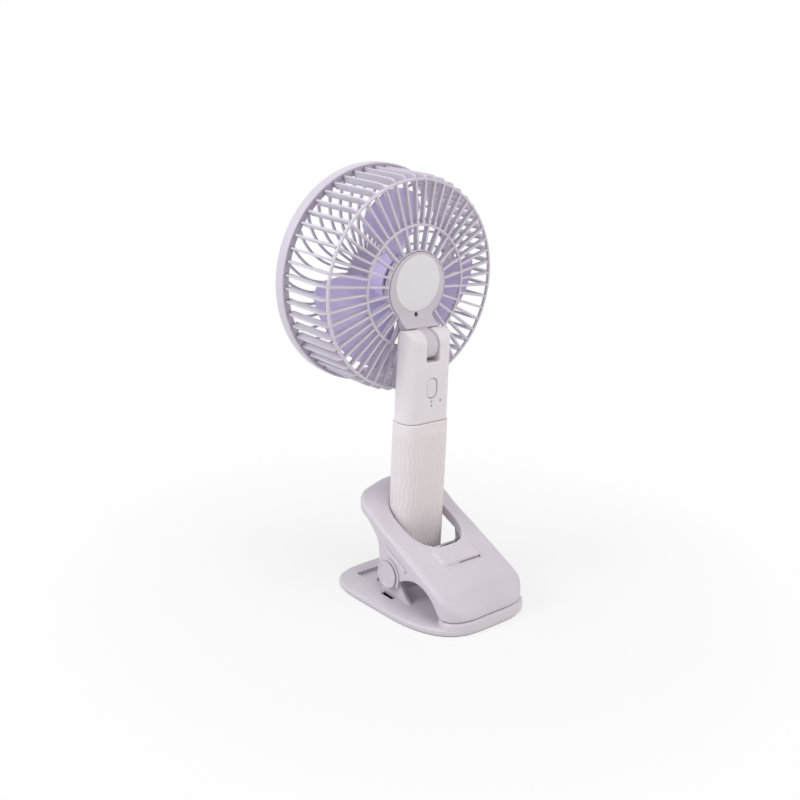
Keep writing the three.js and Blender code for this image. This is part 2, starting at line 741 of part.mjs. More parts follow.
// Outline in X and Z, made thick along Y from y0 to y1, its middle at z.
function slabY(points, y0, y1, z) {
  const g = extruded(points, y1 - y0);
  g.rotateX(Math.PI / 2);
  g.translate(0, y1, z);
  return solid(g);
}
const pinHalf = UPPER_W_HIGH / 2 - TILT_PIN_COVER;
{
  const ring = (z, w, d, inset) =>
    at(roundedRect(w - 2 * inset, d - 2 * inset, UPPER_CORNER_R - inset, 5), z);
  let s = loft([
    ring(upperFoot, widthAt(upperFoot), UPPER_D, 0.5),
    ring(upperFoot + 0.5, widthAt(upperFoot), UPPER_D, 0),
    ring(forkTop + 1, widthAt(forkTop + 1), UPPER_D, 0),
  ]);
  // rounded top, round the tilt axis
  const reach = UPPER_W_LOW;
  const cap = [[-reach, upperFoot - 1], [reach, upperFoot - 1], [reach, TILT_Z]];
  for (let i = 0; i <= 16; i++) {
    const a = (Math.PI * i) / 16;
    cap.push([FORK_R * Math.cos(a), TILT_Z + FORK_R * Math.sin(a)]);
  }
  cap.push([-reach, TILT_Z]);
  s = s.intersect(slabX(cap, -reach, reach));
  s = cut(s, [
    box(-SLOT_W / 2, SLOT_W / 2, -reach, reach, slotFloorZ, forkTop + 5),
    loft([
      at(roundedRect(upperRoomW, upperRoomD, UPPER_CORNER_R - UPPER_WALL, 4), upperFoot - 1),
      at(roundedRect(upperRoomW, upperRoomD, UPPER_CORNER_R - UPPER_WALL, 4), upperRoomTop),
    ]),
    rod(TILT_PIN_R + 0.1, -pinHalf - 0.3, pinHalf + 0.3, 20, "x").translate([0, 0, TILT_Z]),
    slabY(ovalPoints(BUTTON_W + 2 * RUN_GAP, BUTTON_H + 2 * RUN_GAP), 2, 20, BUTTON_Z),
  ]);
  for (const [x, z] of LED_ROWS)
    s = s.subtract(rod(LED_R + 0.1, 4, 20, 10, "y").translate([x, 0, z]));
  put("upper_handle_shell", s, SHELL, upper);
}
put("tilt_pin", rod(TILT_PIN_R, -pinHalf, pinHalf, 18, "x").translate([0, 0, TILT_Z]), STEEL, upper);

const faceY = UPPER_D / 2;
const buttonFace = faceY - BUTTON_SINK;
const flangeBack = faceY - UPPER_WALL - RUN_GAP; // the button's flange sits behind the wall
const flangeT = 0.9;
{
  const stem = slabY(ovalPoints(BUTTON_W, BUTTON_H), flangeBack - flangeT, buttonFace, BUTTON_Z);
  const flange = slabY(
    ovalPoints(BUTTON_W + 2, BUTTON_H + 2),
    flangeBack - flangeT,
    flangeBack,
    BUTTON_Z,
  );
  put("power_button", join([stem, flange]), WHITE, upper);
}
const domeTop = flangeBack - flangeT - BUTTON_TRAVEL - 0.15;
const boardBack = domeTop - 1.6;
const boardMid = (BUTTON_Z + LED_ROWS[0][1]) / 2;
{
  const y1 = boardBack;
  const y0 = y1 - BOARD_T;
  put(
    "circuit_board",
    box(-BOARD_W / 2, BOARD_W / 2, y0, y1, boardMid - BOARD_H / 2, boardMid + BOARD_H / 2),
    GREEN,
    upper,
  );
  const h = SWITCH_SIZE / 2;
  put(
    "button_switch",
    join([
      box(-h, h, y1 + 0.05, y1 + 1.1, BUTTON_Z - h, BUTTON_Z + h),
      rod(1.6, y1 + 0.6, domeTop, 12, "y").translate([0, 0, BUTTON_Z]),
    ]),
    DARK,
    upper,
  );
  LED_ROWS.forEach(([x, z], i) =>
    put(
      "light_guide_" + (i + 1),
      rod(LED_R, y1 + 0.3, faceY - 0.15, 10, "y").translate([x, 0, z]),
      WHITE,
      upper,
    ),
  );
}

// Swivel joint: a stem plate closes the upper handle's foot, and a ring under the grip's top
// wall keeps the stem in.
const gripTop = SEAM_Z;
const wallUnder = gripTop - GRIP_TOP_WALL;
{
  const w = upperRoomW - 2 * SEAT_GAP;
  const d = upperRoomD - 2 * SEAT_GAP;
  const z0 = gripTop + RUN_GAP;
  const plate = loft([
    at(roundedRect(w, d, UPPER_CORNER_R - UPPER_WALL - SEAT_GAP, 4), z0),
    at(roundedRect(w, d, UPPER_CORNER_R - UPPER_WALL - SEAT_GAP, 4), z0 + STEM_PLATE_T),
  ]);
  const stemFoot = wallUnder - RUN_GAP - RETAINER_T - 1.4;
  let s = join([plate, rod(STEM_R, stemFoot, z0 + 1, 24, "z")]);
  s = s.subtract(rod(STEM_BORE_R, stemFoot - 1, z0 + STEM_PLATE_T + 1, 16, "z"));
  put("swivel_stem", s, DARK, upper);
  put(
    "swivel_retainer",
    pipe(STEM_R + 0.15, RETAINER_R, wallUnder - RUN_GAP - RETAINER_T, wallUnder - RUN_GAP, 24, "z"),
    STEEL,
    upper,
  );
}

// ================================ grip and battery ===============================================
{
  const ring = (z, inset) =>
    at(roundedRect(GRIP_W - 2 * inset, GRIP_D - 2 * inset, GRIP_CORNER_R - inset, 5), z);
  let s = loft([
    ring(GRIP_BOTTOM_Z, 0.4),
    ring(GRIP_BOTTOM_Z + 0.4, 0),
    ring(gripTop - 0.6, 0),
    ring(gripTop, 0.6),
  ]);
  s = cut(s, [
    loft([ring(GRIP_BOTTOM_Z - 1, GRIP_WALL), ring(wallUnder, GRIP_WALL)]),
    rod(STEM_R + RUN_GAP, wallUnder - 1, gripTop + 1, 24, "z"),
  ]);
  put("grip_shell", s, SHELL);
}
const cellTop = CELL_FLOOR_Z + CELL_LEN;
const contactFoot = CELL_FLOOR_Z - SEAT_GAP;
const holderW = GRIP_W - 2 * GRIP_WALL - 2 * SEAT_GAP;
const holderD = GRIP_D - 2 * GRIP_WALL - 2 * SEAT_GAP;
const holderR = GRIP_CORNER_R - GRIP_WALL - SEAT_GAP;
const slabRR = (z0, z1) =>
  loft([at(roundedRect(holderW, holderD, holderR, 4), z0), at(roundedRect(holderW, holderD, holderR, 4), z1)]);
put(
  "battery_cell",
  turned(
    [
      [0, CELL_FLOOR_Z],
      [CELL_R - 0.6, CELL_FLOOR_Z],
      [CELL_R, CELL_FLOOR_Z + 0.6],
      [CELL_R, cellTop - 2.2],
      [CELL_R - 0.8, cellTop - 1.4],
      [3, cellTop - 1.4],
      [3, cellTop],
      [0, cellTop],
    ],
    28,
    "z",
  ),
  CELL,
);
put("lower_contact", box(-5, 5, -4, 4, contactFoot - CONTACT_T, contactFoot), STEEL);
put("upper_contact", box(-4, 4, -3.5, 3.5, cellTop + SEAT_GAP, cellTop + SEAT_GAP + CONTACT_T), STEEL);
{
  // bridge over the cell, seated between the grip's walls, with the upper contact under it
  const z0 = cellTop + SEAT_GAP + CONTACT_T + SEAT_GAP;
  put("battery_bridge", slabRR(z0, z0 + 2), DARK);
}
{
  // plug that closes the grip's foot and carries the lower contact
  const z1 = contactFoot - CONTACT_T - SEAT_GAP;
  put("grip_plug", slabRR(GRIP_BOTTOM_Z + 0.6, z1), DARK);
}

// ================================ base ===========================================================
const lipBackY = BASE_CY + BASE_HALF_L - LIP_LEN;
const socketIn = SEAT_GAP;
{
  const ring = (z, inset) =>
    squircle(BASE_CY, BASE_HALF_L, BASE_HALF_W, BASE_TAPER, BASE_POWER, 48, inset).map((p) =>
      V(p[0], p[1], z),
    );
  const under = FOOT_PROUD;
  const plate = loft([
    ring(under, PLATE_EDGE_R * 0.6),
    ring(under + 0.8, 0),
    ring(PLATE_TOP_Z - PLATE_EDGE_R, 0),
    ring(PLATE_TOP_Z - PLATE_EDGE_R * 0.3, PLATE_EDGE_R * 0.35),
    ring(PLATE_TOP_Z, PLATE_EDGE_R),
  ]);
  // raised lip at the front, cut to the plate's own outline
  const lip = loft([ring(PLATE_TOP_Z - 2, 0), ring(LIP_TOP_Z - 0.8, 0.9), ring(LIP_TOP_Z, 1.7)]).intersect(
    loft([
      at(roundedRect(2 * LIP_HALF_W, 2 * LIP_LEN + 8, 6, 4), PLATE_TOP_Z - 2),
      at(roundedRect(2 * LIP_HALF_W, 2 * LIP_LEN + 8, 6, 4), LIP_TOP_Z - 1),
      at(roundedRect(2 * LIP_HALF_W - 2, 2 * LIP_LEN + 6, 5, 4), LIP_TOP_Z + 0.1),
    ]).translate([0, BASE_CY + BASE_HALF_L + 4, 0]),
  );
  // posts that carry the jaw's pin
  const post = [];
  const t0 = POST_OUT_X - POST_T;
  for (let i = 0; i <= 10; i++) {
    const a = rad(-15 + (210 * i) / 10);
    post.push([PIVOT_Y + POST_R * Math.cos(a), PIVOT_Z + POST_R * Math.sin(a)]);
  }
  post.push([POST_FOOT_BACK, PLATE_TOP_Z + 2], [POST_FOOT_BACK - 1.5, PLATE_TOP_Z - 1]);
  post.push([POST_FOOT_FRONT, PLATE_TOP_Z - 1], [POST_FOOT_FRONT - 7, PLATE_TOP_Z + 3.4]);
  const collar = loft(
    [PLATE_TOP_Z - 1, SOCKET_TOP_Z].map((z) =>
      at(
        roundedRect(
          GRIP_W + 2 * (socketIn + SOCKET_WALL),
          GRIP_D + 2 * (socketIn + SOCKET_WALL),
          GRIP_CORNER_R + SOCKET_WALL + socketIn,
          4,
        ),
        z,
      ),
    ),
  );
  let s = join([plate, lip, collar, slabX(post, t0, POST_OUT_X), slabX(post, -POST_OUT_X, -t0)]);
  const gripHole = loft(
    [GRIP_BOTTOM_Z - SEAT_GAP, SOCKET_TOP_Z + 1].map((z) =>
      at(roundedRect(GRIP_W + 2 * socketIn, GRIP_D + 2 * socketIn, GRIP_CORNER_R + socketIn, 4), z),
    ),
  );
  const slotY = PIVOT_Y - SLOT_LEN / 2;
  const sx = POST_OUT_X + 0.6;
  s = cut(s, [
    gripHole,
    box(
      -PAD_HALF_W - SEAT_GAP,
      PAD_HALF_W + SEAT_GAP,
      JAW_FRONT_Y - PAD_SETBACK - PAD_LEN - SEAT_GAP,
      JAW_FRONT_Y - PAD_SETBACK + SEAT_GAP,
      LIP_TOP_Z - PAD_T - SEAT_GAP,
      LIP_TOP_Z + 1,
    ),
    rod(PIVOT_R + 0.15, -POST_OUT_X - 1, POST_OUT_X + 1, 18, "x").translate([0, PIVOT_Y, PIVOT_Z]),
    box(sx, sx + SLOT_WIDTH, slotY, slotY + SLOT_LEN, -1, PLATE_TOP_Z + 1),
    box(-sx - SLOT_WIDTH, -sx, slotY, slotY + SLOT_LEN, -1, PLATE_TOP_Z + 1),
    box(
      -RECESS_HALF_W,
      RECESS_HALF_W,
      RECESS_BACK_Y,
      RECESS_BACK_Y + RECESS_LEN,
      PLATE_TOP_Z - RECESS_DEPTH,
      PLATE_TOP_Z + 1,
    ),
    // seat of the rubber foot
    loft(
      [-1, FOOT_T + SEAT_GAP].map((z) =>
        squircle(
          BASE_CY,
          BASE_HALF_L,
          BASE_HALF_W,
          BASE_TAPER,
          BASE_POWER,
          48,
          FOOT_INSET - SEAT_GAP,
        ).map((p) => V(p[0], p[1], z)),
      ),
    ),
  ]);
  // screw holes up into the grip's plug
  for (const x of [-GRIP_SCREW_X, GRIP_SCREW_X])
    s = s.subtract(rod(GRIP_SCREW_R + 0.15, -1, GRIP_BOTTOM_Z + 1, 14, "z").translate([x, 0, 0]));
  put("base_plate", s, SHELL);
  let foot = loft(
    [0, FOOT_T].map((z) =>
      squircle(BASE_CY, BASE_HALF_L, BASE_HALF_W, BASE_TAPER, BASE_POWER, 48, FOOT_INSET).map((p) =>
        V(p[0], p[1], z),
      ),
    ),
  );
  foot = cut(foot, [
    box(sx - 0.5, sx + SLOT_WIDTH + 0.5, slotY - 0.5, slotY + SLOT_LEN + 0.5, -1, 3),
    box(-sx - SLOT_WIDTH - 0.5, -sx + 0.5, slotY - 0.5, slotY + SLOT_LEN + 0.5, -1, 3),
  ]);
  put("rubber_foot", foot, RUBBER);
}
for (const [name, x] of [
  ["socket_screw_left", -GRIP_SCREW_X],
  ["socket_screw_right", GRIP_SCREW_X],
])
  put(
    name,
    join([
      rod(GRIP_SCREW_R, FOOT_T + SEAT_GAP, GRIP_BOTTOM_Z + 0.3, 12, "z"),
    ]).translate([x, 0, 0]),
    STEEL,
  );
const pinEnd = JAW_HALF_W - CAP_SEAT - PIN_SHORT;
put("pivot_pin", rod(PIVOT_R, -pinEnd, pinEnd, 16, "x").translate([0, PIVOT_Y, PIVOT_Z]), STEEL);

// ================================ jaw ============================================================
const jaw = new THREE.Group();
root.add(jaw);
// Spring: where its cross bar lies on the jaw.
const bailStart = rad(BAIL_DEG);
const bailDir = V(0, Math.sin(bailStart), -Math.cos(bailStart));
const bailFrom = V(0, PIVOT_Y + COIL_R * Math.cos(bailStart), PIVOT_Z + COIL_R * Math.sin(bailStart));
const bailY = bailFrom.y + bailDir.y * BAIL_REACH;
const bailZ = bailFrom.z + bailDir.z * BAIL_REACH;
const ledgeTop = bailZ - WIRE_R - SEAT_GAP;
const padY1 = JAW_FRONT_Y - PAD_SETBACK;
const padY0 = padY1 - PAD_LEN;
const padZ0 = LIP_TOP_Z + SEAT_GAP;
// Height of the jaw's top edge along y, and the lower edge of its side walls.
const JAW_TOP = [
  [-27, 65.2], [-11, 56.9], [3.2, 48.9], [19.9, 41.6], [35.2, 34.6], [50.1, 27.6],
  [59.2, 23.2], [63.7, 20.6], [66.6, 17.6], [69.4, 14.6], [71.4, 11.6], [72.6, 8.6],
];
const JAW_UNDER = [
  [-28, 59.4], [-19, 57.5], [-16, 53], [-8.2, 48.4], [-2.6, 44.2], [0.9, 40.4], [3.2, 35.6],
];
const JAW_ARCH = [
  [20.4, 13.4], [22.8, 16.6], [26.4, 19.6], [32, 22.2], [38, 23.6], [44, 23.2], [49.2, 21.2],
  [53.6, 18.2], [57, 14.6], [59.8, 11.2], [62.4, 9.2], [66, 8.6],
];
const topZ = (y) => lerpTable(JAW_TOP, y);
// Half width of the jaw in plan along y: arcs at the back and at the front corners.
function jawHalfW(y, inset = 0) {
  const w = JAW_HALF_W - inset;
  const y1 = JAW_FRONT_Y - inset;
  const rf = JAW_FRONT_CORNER_R;
  if (y > y1 - rf) {
    const f = Math.min(1, (y - (y1 - rf)) / rf);
    return w - rf * 1.25 * (1 - Math.sqrt(Math.max(0, 1 - f ** 2.4)));
  }
  const y0 = JAW_BACK_Y + inset;
  const backBend = y0 + (w - JAW_BACK_CORNER_R) ** 2 / (2 * JAW_BACK_ARC_R);
  const rb = JAW_BACK_CORNER_R;
  if (y < backBend) return Math.sqrt(Math.max(0, 2 * JAW_BACK_ARC_R * (y - y0)));
  if (y < backBend + rb) {
    const f = (backBend + rb - y) / rb;
    return w - rb * (1 - Math.sqrt(Math.max(0, 1 - f * f)));
  }
  return w;
}
// One cross-section of the jaw's outside: crowned top, rounded edges, straight sides.
function jawSection(y, inset, floorZ) {
  const w = Math.max(0.6, jawHalfW(y, inset));
  const z = topZ(y) - inset;
  const r = Math.min(JAW_EDGE_R, w * 0.5, Math.max(1, z - JAW_EDGE_Z));
  const crown = JAW_CROWN * (w / JAW_HALF_W) ** 2;
  const pts = [];
  const side = [[w, floorZ], [w, z - r]];
  for (const a of [30, 60, 90])
    side.push([w - r + r * Math.cos(rad(a)), z - r + r * Math.sin(rad(a))]);
  for (const f of [0.66, 0.33]) side.push([(w - r) * f, z + crown * (1 - f * f)]);
  for (const [x, zz] of side) pts.push(V(x, y, zz));
  pts.push(V(0, y, z + crown));
  for (const [x, zz] of side.reverse()) pts.push(V(-x, y, zz));
  return pts;
}
const JAW_STATIONS = [
  -26.9, -25.6, -23.6, -21.4, -18.8, -15.4, -11, -4, 3.2, 11, 19.9, 27, 35.2, 43, 50.1, 58,
  61.6, 65.2, 68.4, 70.8, 72.2, 72.5,
];
{
  const stationsIn = JAW_STATIONS.filter(
    (y) => y > JAW_BACK_Y + JAW_WALL + 0.5 && y < JAW_FRONT_Y - JAW_WALL - 0.4,
  );
  const outer = loft(JAW_STATIONS.map((y) => jawSection(y, 0, -5)));
  const inner = loft(stationsIn.map((y) => jawSection(y, JAW_WALL, -6)));
  const profile = [...JAW_UNDER];
  const a0 = 180 - 30;
  for (let i = 0; i <= 9; i++) {
    const a = rad(a0 + ((305 - a0) * i) / 9);
    profile.push([PIVOT_Y + EAR_R * Math.cos(a), PIVOT_Z + EAR_R * Math.sin(a)]);
  }
  profile.push(...JAW_ARCH, [74, JAW_EDGE_Z], [74, 80], [-28, 80]);
  const silhouette = slabX(profile, -JAW_HALF_W - 7, JAW_HALF_W + 7);
  let s = outer.intersect(silhouette);
  const openPts = (grow) =>
    squircle(OPEN_CY, OPEN_HALF_L + grow, OPEN_HALF_W + grow, 0, OPEN_POWER, 40);
  // opening for the handle, with a skirt round it under the top
  const skirtLow = loft(
    JAW_STATIONS.map((y) => jawSection(y, 0, -5).map((p) => V(p.x, p.y, p.z > 0 ? p.z - SKIRT_DEPTH : p.z))),
  );
  const skirt = outer.intersect(slabZ(openPts(SKIRT_T), 5, 90)).subtract(skirtLow);
  s = s.subtract(inner).add(skirt);
  // block over the gripping pad
  const padBlock = box(
    -PAD_HALF_W - 1,
    PAD_HALF_W + 1,
    padY0 - 1,
    JAW_FRONT_Y - 1,
    padZ0 + PAD_T + SEAT_GAP,
    topZ(padY0),
  );
  s = s.add(padBlock.intersect(outer));
  s = s.subtract(slabZ(openPts(0), -10, 90));
  // ledge in front of the opening, which the spring's cross bar pushes down
  const ledgeFront = OPEN_CY + OPEN_HALF_L;
  s = s.add(
    box(-LEDGE_HALF_W, LEDGE_HALF_W, bailY - 2.4, ledgeFront + SKIRT_T, ledgeTop - LEDGE_T, ledgeTop),
  );
  s = s.add(
    box(-LEDGE_HALF_W, LEDGE_HALF_W, ledgeFront + 0.1, ledgeFront + SKIRT_T, ledgeTop - LEDGE_T,
      topZ(ledgeFront) - 1),
  );
  // raised tab in front of the opening
  const lift = loft(
    JAW_STATIONS.map((y) => jawSection(y, 0, -5).map((p) => V(p.x, p.y, p.z > 0 ? p.z + TAB_RISE : p.z))),
  );
  const tabBack = OPEN_CY + OPEN_HALF_L + 0.6;
  const tab = lift
    .intersect(
      slabZ(
        roundedRect(2 * TAB_HALF_W, TAB_LEN, 2.5, 3).map((p) => [p[0], p[1] + tabBack + TAB_LEN / 2]),
        10,
        90,
      ),
    )
    .subtract(inner);
  s = s.add(tab);
  // low ridge along each side, from over the ear down to the front
  const ridgeFrom = [PIVOT_Y - RIDGE_BACK, PIVOT_Z + EAR_R + RIDGE_UP];
  const ridgeTo = [PIVOT_Y + RIDGE_FRONT, PIVOT_Z + EAR_R - 0.1];
  const ridgeLen = Math.hypot(ridgeTo[0] - ridgeFrom[0], ridgeTo[1] - ridgeFrom[1]);
  const ridgeOff = [
    (RIDGE_W * (ridgeFrom[1] - ridgeTo[1])) / ridgeLen,
    (RIDGE_W * (ridgeTo[0] - ridgeFrom[0])) / ridgeLen,
  ];
  // ears: seat for the caps, hole for the pin, and a boss inside
  for (const side of [-1, 1]) {
    const x1 = side * (JAW_HALF_W - CAP_SEAT);
    const x2 = side * (JAW_HALF_W + 2);
    const xb = side * (POST_OUT_X + RUN_GAP);
    const [b0, b1] = [Math.min(xb, x1), Math.max(xb, x1)];
    const boss = rod(EAR_R - 0.6, b0, b1, 26, "x").translate([0, PIVOT_Y, PIVOT_Z]);
    s = s.add(boss);
    const [c0, c1] = [Math.min(x1, x2), Math.max(x1, x2)];
    s = s.subtract(rod(CAP_R - 0.9, c0, c1, 28, "x").translate([0, PIVOT_Y, PIVOT_Z]));
    const ridge = slabX(
      [ridgeFrom, ridgeTo, [ridgeTo[0] - ridgeOff[0], ridgeTo[1] - ridgeOff[1]],
        [ridgeFrom[0] - ridgeOff[0], ridgeFrom[1] - ridgeOff[1]]],
      Math.min(side * (JAW_HALF_W - 1), side * (JAW_HALF_W + RIDGE_PROUD)),
      Math.max(side * (JAW_HALF_W - 1), side * (JAW_HALF_W + RIDGE_PROUD)),
    );
    s = s.add(ridge);
  }
  s = s.subtract(rod(PIVOT_R + 0.25, -JAW_HALF_W - 7, JAW_HALF_W + 7, 18, "x").translate([0, PIVOT_Y, PIVOT_Z]));
  put("upper_jaw", s, SHELL, jaw);
}
for (const [name, side] of [["pivot_cap_left", -1], ["pivot_cap_right", 1]]) {
  const seat = JAW_HALF_W - CAP_SEAT + SEAT_GAP;
  const out = JAW_HALF_W + CAP_PROUD;
  const r = CAP_R - 0.9 - SEAT_GAP;
  const s = turned(
    [
      [0, seat],
      [r, seat],
      [r, JAW_HALF_W + SEAT_GAP],
      [CAP_R, JAW_HALF_W + SEAT_GAP],
      [CAP_R, out - 0.4],
      [CAP_R - 0.4, out],
      [CAP_R - 1.5, out],
      [CAP_R - 1.9, out - 0.5],
      [0, out - 0.5],
    ],
    22,
    "x",
  );
  const m = side > 0 ? s : s.rotate([0, 0, 180]);
  put(name, m.translate([0, PIVOT_Y, PIVOT_Z]), SHELL, jaw);
}
// gripping pads: one under the jaw's tip, one let into the lip
put("jaw_pad", box(-PAD_HALF_W, PAD_HALF_W, padY0, padY1, padZ0, padZ0 + PAD_T), RUBBER, jaw);
put(
  "lip_pad",
  box(-PAD_HALF_W, PAD_HALF_W, padY0, padY1, LIP_TOP_Z - PAD_T, LIP_TOP_Z - 0.02),
  RUBBER,
);

// ================================ spring =========================================================
// One wire: left leg, left coil, cross bar, right coil, right leg.
{
  const half = []; // from the middle of the cross bar to the right leg's end
  const coilX0 = GRIP_W / 2 + SEAT_GAP + 0.2 + WIRE_R;
  const turn = 8;
  const endAngle = rad(143) + 2 * Math.PI * COIL_TURNS;
  const sweep = endAngle - bailStart;
  const along = (x, t) => V(x, bailFrom.y + bailDir.y * t, bailFrom.z + bailDir.z * t);
  const bendX = BAIL_HALF_W - BAIL_BEND_R;
  half.push(V(bendX * 0.4, bailY, bailZ));
  for (const a of [90, 60, 30, 0])
    half.push(
      along(
        bendX + BAIL_BEND_R * Math.cos(rad(a)),
        BAIL_REACH - BAIL_BEND_R * (1 - Math.sin(rad(a))),
      ),
    );
  const steps = Math.round((sweep / (2 * Math.PI)) * turn);
  for (let i = 0; i <= steps; i++) {
    const a = bailStart + (sweep * i) / steps;
    half.push(
      V(
        coilX0 + (COIL_PITCH * sweep * i) / (2 * Math.PI * steps),
        PIVOT_Y + COIL_R * Math.cos(a),
        PIVOT_Z + COIL_R * Math.sin(a),
      ),
    );
  }
  const last = half[half.length - 1];
  const out = V(0, -Math.sin(endAngle), Math.cos(endAngle));
  for (const t of [0.5, 1]) half.push(last.clone().addScaledVector(out, LEG_LEN * t));
  const path = [...half.map((p) => V(-p.x, p.y, p.z)).reverse(), ...half];

  const sides = 5;
  const rings = [];
  let normal = null;
  for (let i = 0; i < path.length; i++) {
    const before = path[Math.max(0, i - 1)];
    const after = path[Math.min(path.length - 1, i + 1)];
    const dir = after.clone().sub(before).normalize();
    if (!normal) normal = V(1, 0, 0);
    normal = normal.addScaledVector(dir, -normal.dot(dir)).normalize();
    const other = dir.clone().cross(normal);
    const ring = [];
    for (let k = 0; k < sides; k++) {
      const a = (2 * Math.PI * k) / sides;
      ring.push(
        path[i]
          .clone()
          .addScaledVector(normal, WIRE_R * Math.cos(a))
          .addScaledVector(other, WIRE_R * Math.sin(a)),
      );
    }
    rings.push(ring);
  }
  put("torsion_spring", loft(rings), STEEL);

  // least gap of the wire to itself, between points at least half a turn apart
  const fine = [];
  for (let i = 0; i + 1 < path.length; i++)
    for (let k = 0; k < 6; k++) fine.push(path[i].clone().lerp(path[i + 1], k / 6));
  const length = [0];
  for (let i = 1; i < fine.length; i++) length.push(length[i - 1] + fine[i].distanceTo(fine[i - 1]));
  let least = Infinity;
  for (let i = 0; i < fine.length; i++)
    for (let j = i + 1; j < fine.length; j++)
      if (length[j] - length[i] > Math.PI * COIL_R)
        least = Math.min(least, fine[i].distanceTo(fine[j]) - 2 * WIRE_R);
  console.log("torsion_spring: least gap of the wire to itself " + least.toFixed(2) + " mm");
}
export default root;
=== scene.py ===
import math
import bmesh
import bpy
from mathutils import Matrix, Vector
from mathutils.kdtree import KDTree


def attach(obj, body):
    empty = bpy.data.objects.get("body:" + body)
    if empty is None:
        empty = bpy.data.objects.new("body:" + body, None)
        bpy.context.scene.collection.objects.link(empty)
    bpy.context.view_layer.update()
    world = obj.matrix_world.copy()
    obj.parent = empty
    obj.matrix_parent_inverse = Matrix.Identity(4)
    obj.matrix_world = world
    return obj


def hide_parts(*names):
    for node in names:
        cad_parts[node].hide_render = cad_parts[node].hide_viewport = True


# Clip-on fan: slatted head on a swivelling handle, in a clip base with a sprung jaw.
# Every new piece is drawn in millimetres and brought to metres when it is settled.
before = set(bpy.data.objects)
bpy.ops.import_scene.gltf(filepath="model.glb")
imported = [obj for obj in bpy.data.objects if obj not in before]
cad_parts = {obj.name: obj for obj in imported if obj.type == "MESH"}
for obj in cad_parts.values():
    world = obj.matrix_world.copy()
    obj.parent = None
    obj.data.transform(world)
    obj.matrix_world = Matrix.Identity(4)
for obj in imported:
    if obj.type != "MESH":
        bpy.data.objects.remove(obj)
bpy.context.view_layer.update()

# ---------------------------------------------------------------- camera
turn, lift, roll = math.radians(139.44), math.radians(16.02), math.radians(-2.31)
back = Vector((math.sin(turn) * math.cos(lift), -math.cos(turn) * math.cos(lift), math.sin(lift)))
right = Vector((math.cos(turn), math.sin(turn), 0))
up = back.cross(right)
right, up = (right * math.cos(roll) - up * math.sin(roll),
             right * math.sin(roll) + up * math.cos(roll))
camera_data = bpy.data.cameras.new("photo_camera")
camera_data.lens = 43.87
camera_data.sensor_width = 36
camera_data.clip_start = 0.02
camera_data.clip_end = 20
camera = bpy.data.objects.new("photo_camera", camera_data)
bpy.context.scene.collection.objects.link(camera)
camera.matrix_world = Matrix.Translation((0.3879, 0.4330, 0.2895)) @ Matrix(
    (right, up, back)).transposed().to_4x4()
bpy.context.scene.camera = camera


# ---------------------------------------------------------------- bench tools
def object_mode():
    if bpy.context.mode != "OBJECT":
        bpy.ops.object.mode_set(mode="OBJECT")


def put_down():
    """Object mode with nothing selected."""
    object_mode()
    bpy.ops.object.select_all(action="DESELECT")


def take(*pieces):
    """Selects these pieces, the first one active."""
    put_down()
    for p in pieces:
        p.select_set(True)
    bpy.context.view_layer.objects.active = pieces[0]
    return pieces[0]


def rest(piece):
    """Brings a piece's turn, size and place into its mesh."""
    take(piece)
    bpy.ops.object.transform_apply(location=True, rotation=True, scale=True)
    return piece


def trace(name, points, closed=True, fill=True):
    """Draws an outline in edit mode, corner by corner, and fills it."""
    put_down()
    bpy.ops.mesh.primitive_plane_add(size=1, location=points[0])
    piece = bpy.context.active_object
    piece.name = name
    bpy.ops.object.mode_set(mode="EDIT")
    bpy.ops.mesh.select_mode(type="VERT")
    bpy.ops.mesh.select_all(action="SELECT")
    bpy.ops.mesh.merge(type="CENTER")
    here = Vector(points[0])
    for p in points[1:]:
        bpy.ops.mesh.extrude_region_move(TRANSFORM_OT_translate={"value": Vector(p) - here})
        here = Vector(p)
    if closed:
        mesh = bmesh.from_edit_mesh(piece.data)
        ends = [v for v in mesh.verts if len(v.link_edges) < 2]
        for v in mesh.verts:
            v.select = v in ends
        mesh.select_flush_mode()
        bmesh.update_edit_mesh(piece.data)
        bpy.ops.mesh.edge_face_add()
        if fill:
            bpy.ops.mesh.select_all(action="SELECT")
            bpy.ops.mesh.edge_face_add()
    object_mode()
    return rest(piece)


def pull(piece, way):
    """Extrudes a filled outline into a solid."""
    take(piece)
    bpy.ops.object.mode_set(mode="EDIT")
    bpy.ops.mesh.select_all(action="SELECT")
    bpy.ops.mesh.extrude_region_move(TRANSFORM_OT_translate={"value": way})
    bpy.ops.mesh.select_all(action="SELECT")
    bpy.ops.mesh.normals_make_consistent(inside=False)
    object_mode()
    return piece


def slab(name, points, way):
    return pull(trace(name, points), way)


def spun(name, profile, steps, axis=(0, 1, 0), centre=(0, 0, 0)):
    """Turns an outline of [radius, height] pairs once round an axis through the centre."""
    axis = Vector(axis)
    out = Vector((1, 0, 0)) if abs(axis.x) < 0.5 else Vector((0, 0, 1))
    points = [tuple(out * r + axis * h) for r, h in profile]
    touches = [i for i, (r, h) in enumerate(profile) if r < 1e-6]
    piece = trace(name, points, closed=not touches, fill=False)
    take(piece)
    bpy.ops.object.mode_set(mode="EDIT")
    bpy.ops.mesh.select_all(action="SELECT")
    bpy.ops.mesh.spin(steps=steps, angle=2 * math.pi, center=(0, 0, 0), axis=axis)
    bpy.ops.mesh.select_all(action="SELECT")
    bpy.ops.mesh.remove_doubles(threshold=1e-4)
    bpy.ops.mesh.dissolve_degenerate(threshold=1e-5)
    bpy.ops.mesh.select_all(action="SELECT")
    bpy.ops.mesh.normals_make_consistent(inside=False)
    bpy.ops.transform.translate(value=centre)
    object_mode()
    return piece


def rod(name, r, h0, h1, steps, **where):
    """Round bar from h0 to h1 along its axis."""
    return spun(name, [(0, h0), (r, h0), (r, h1), (0, h1)], steps, **where)


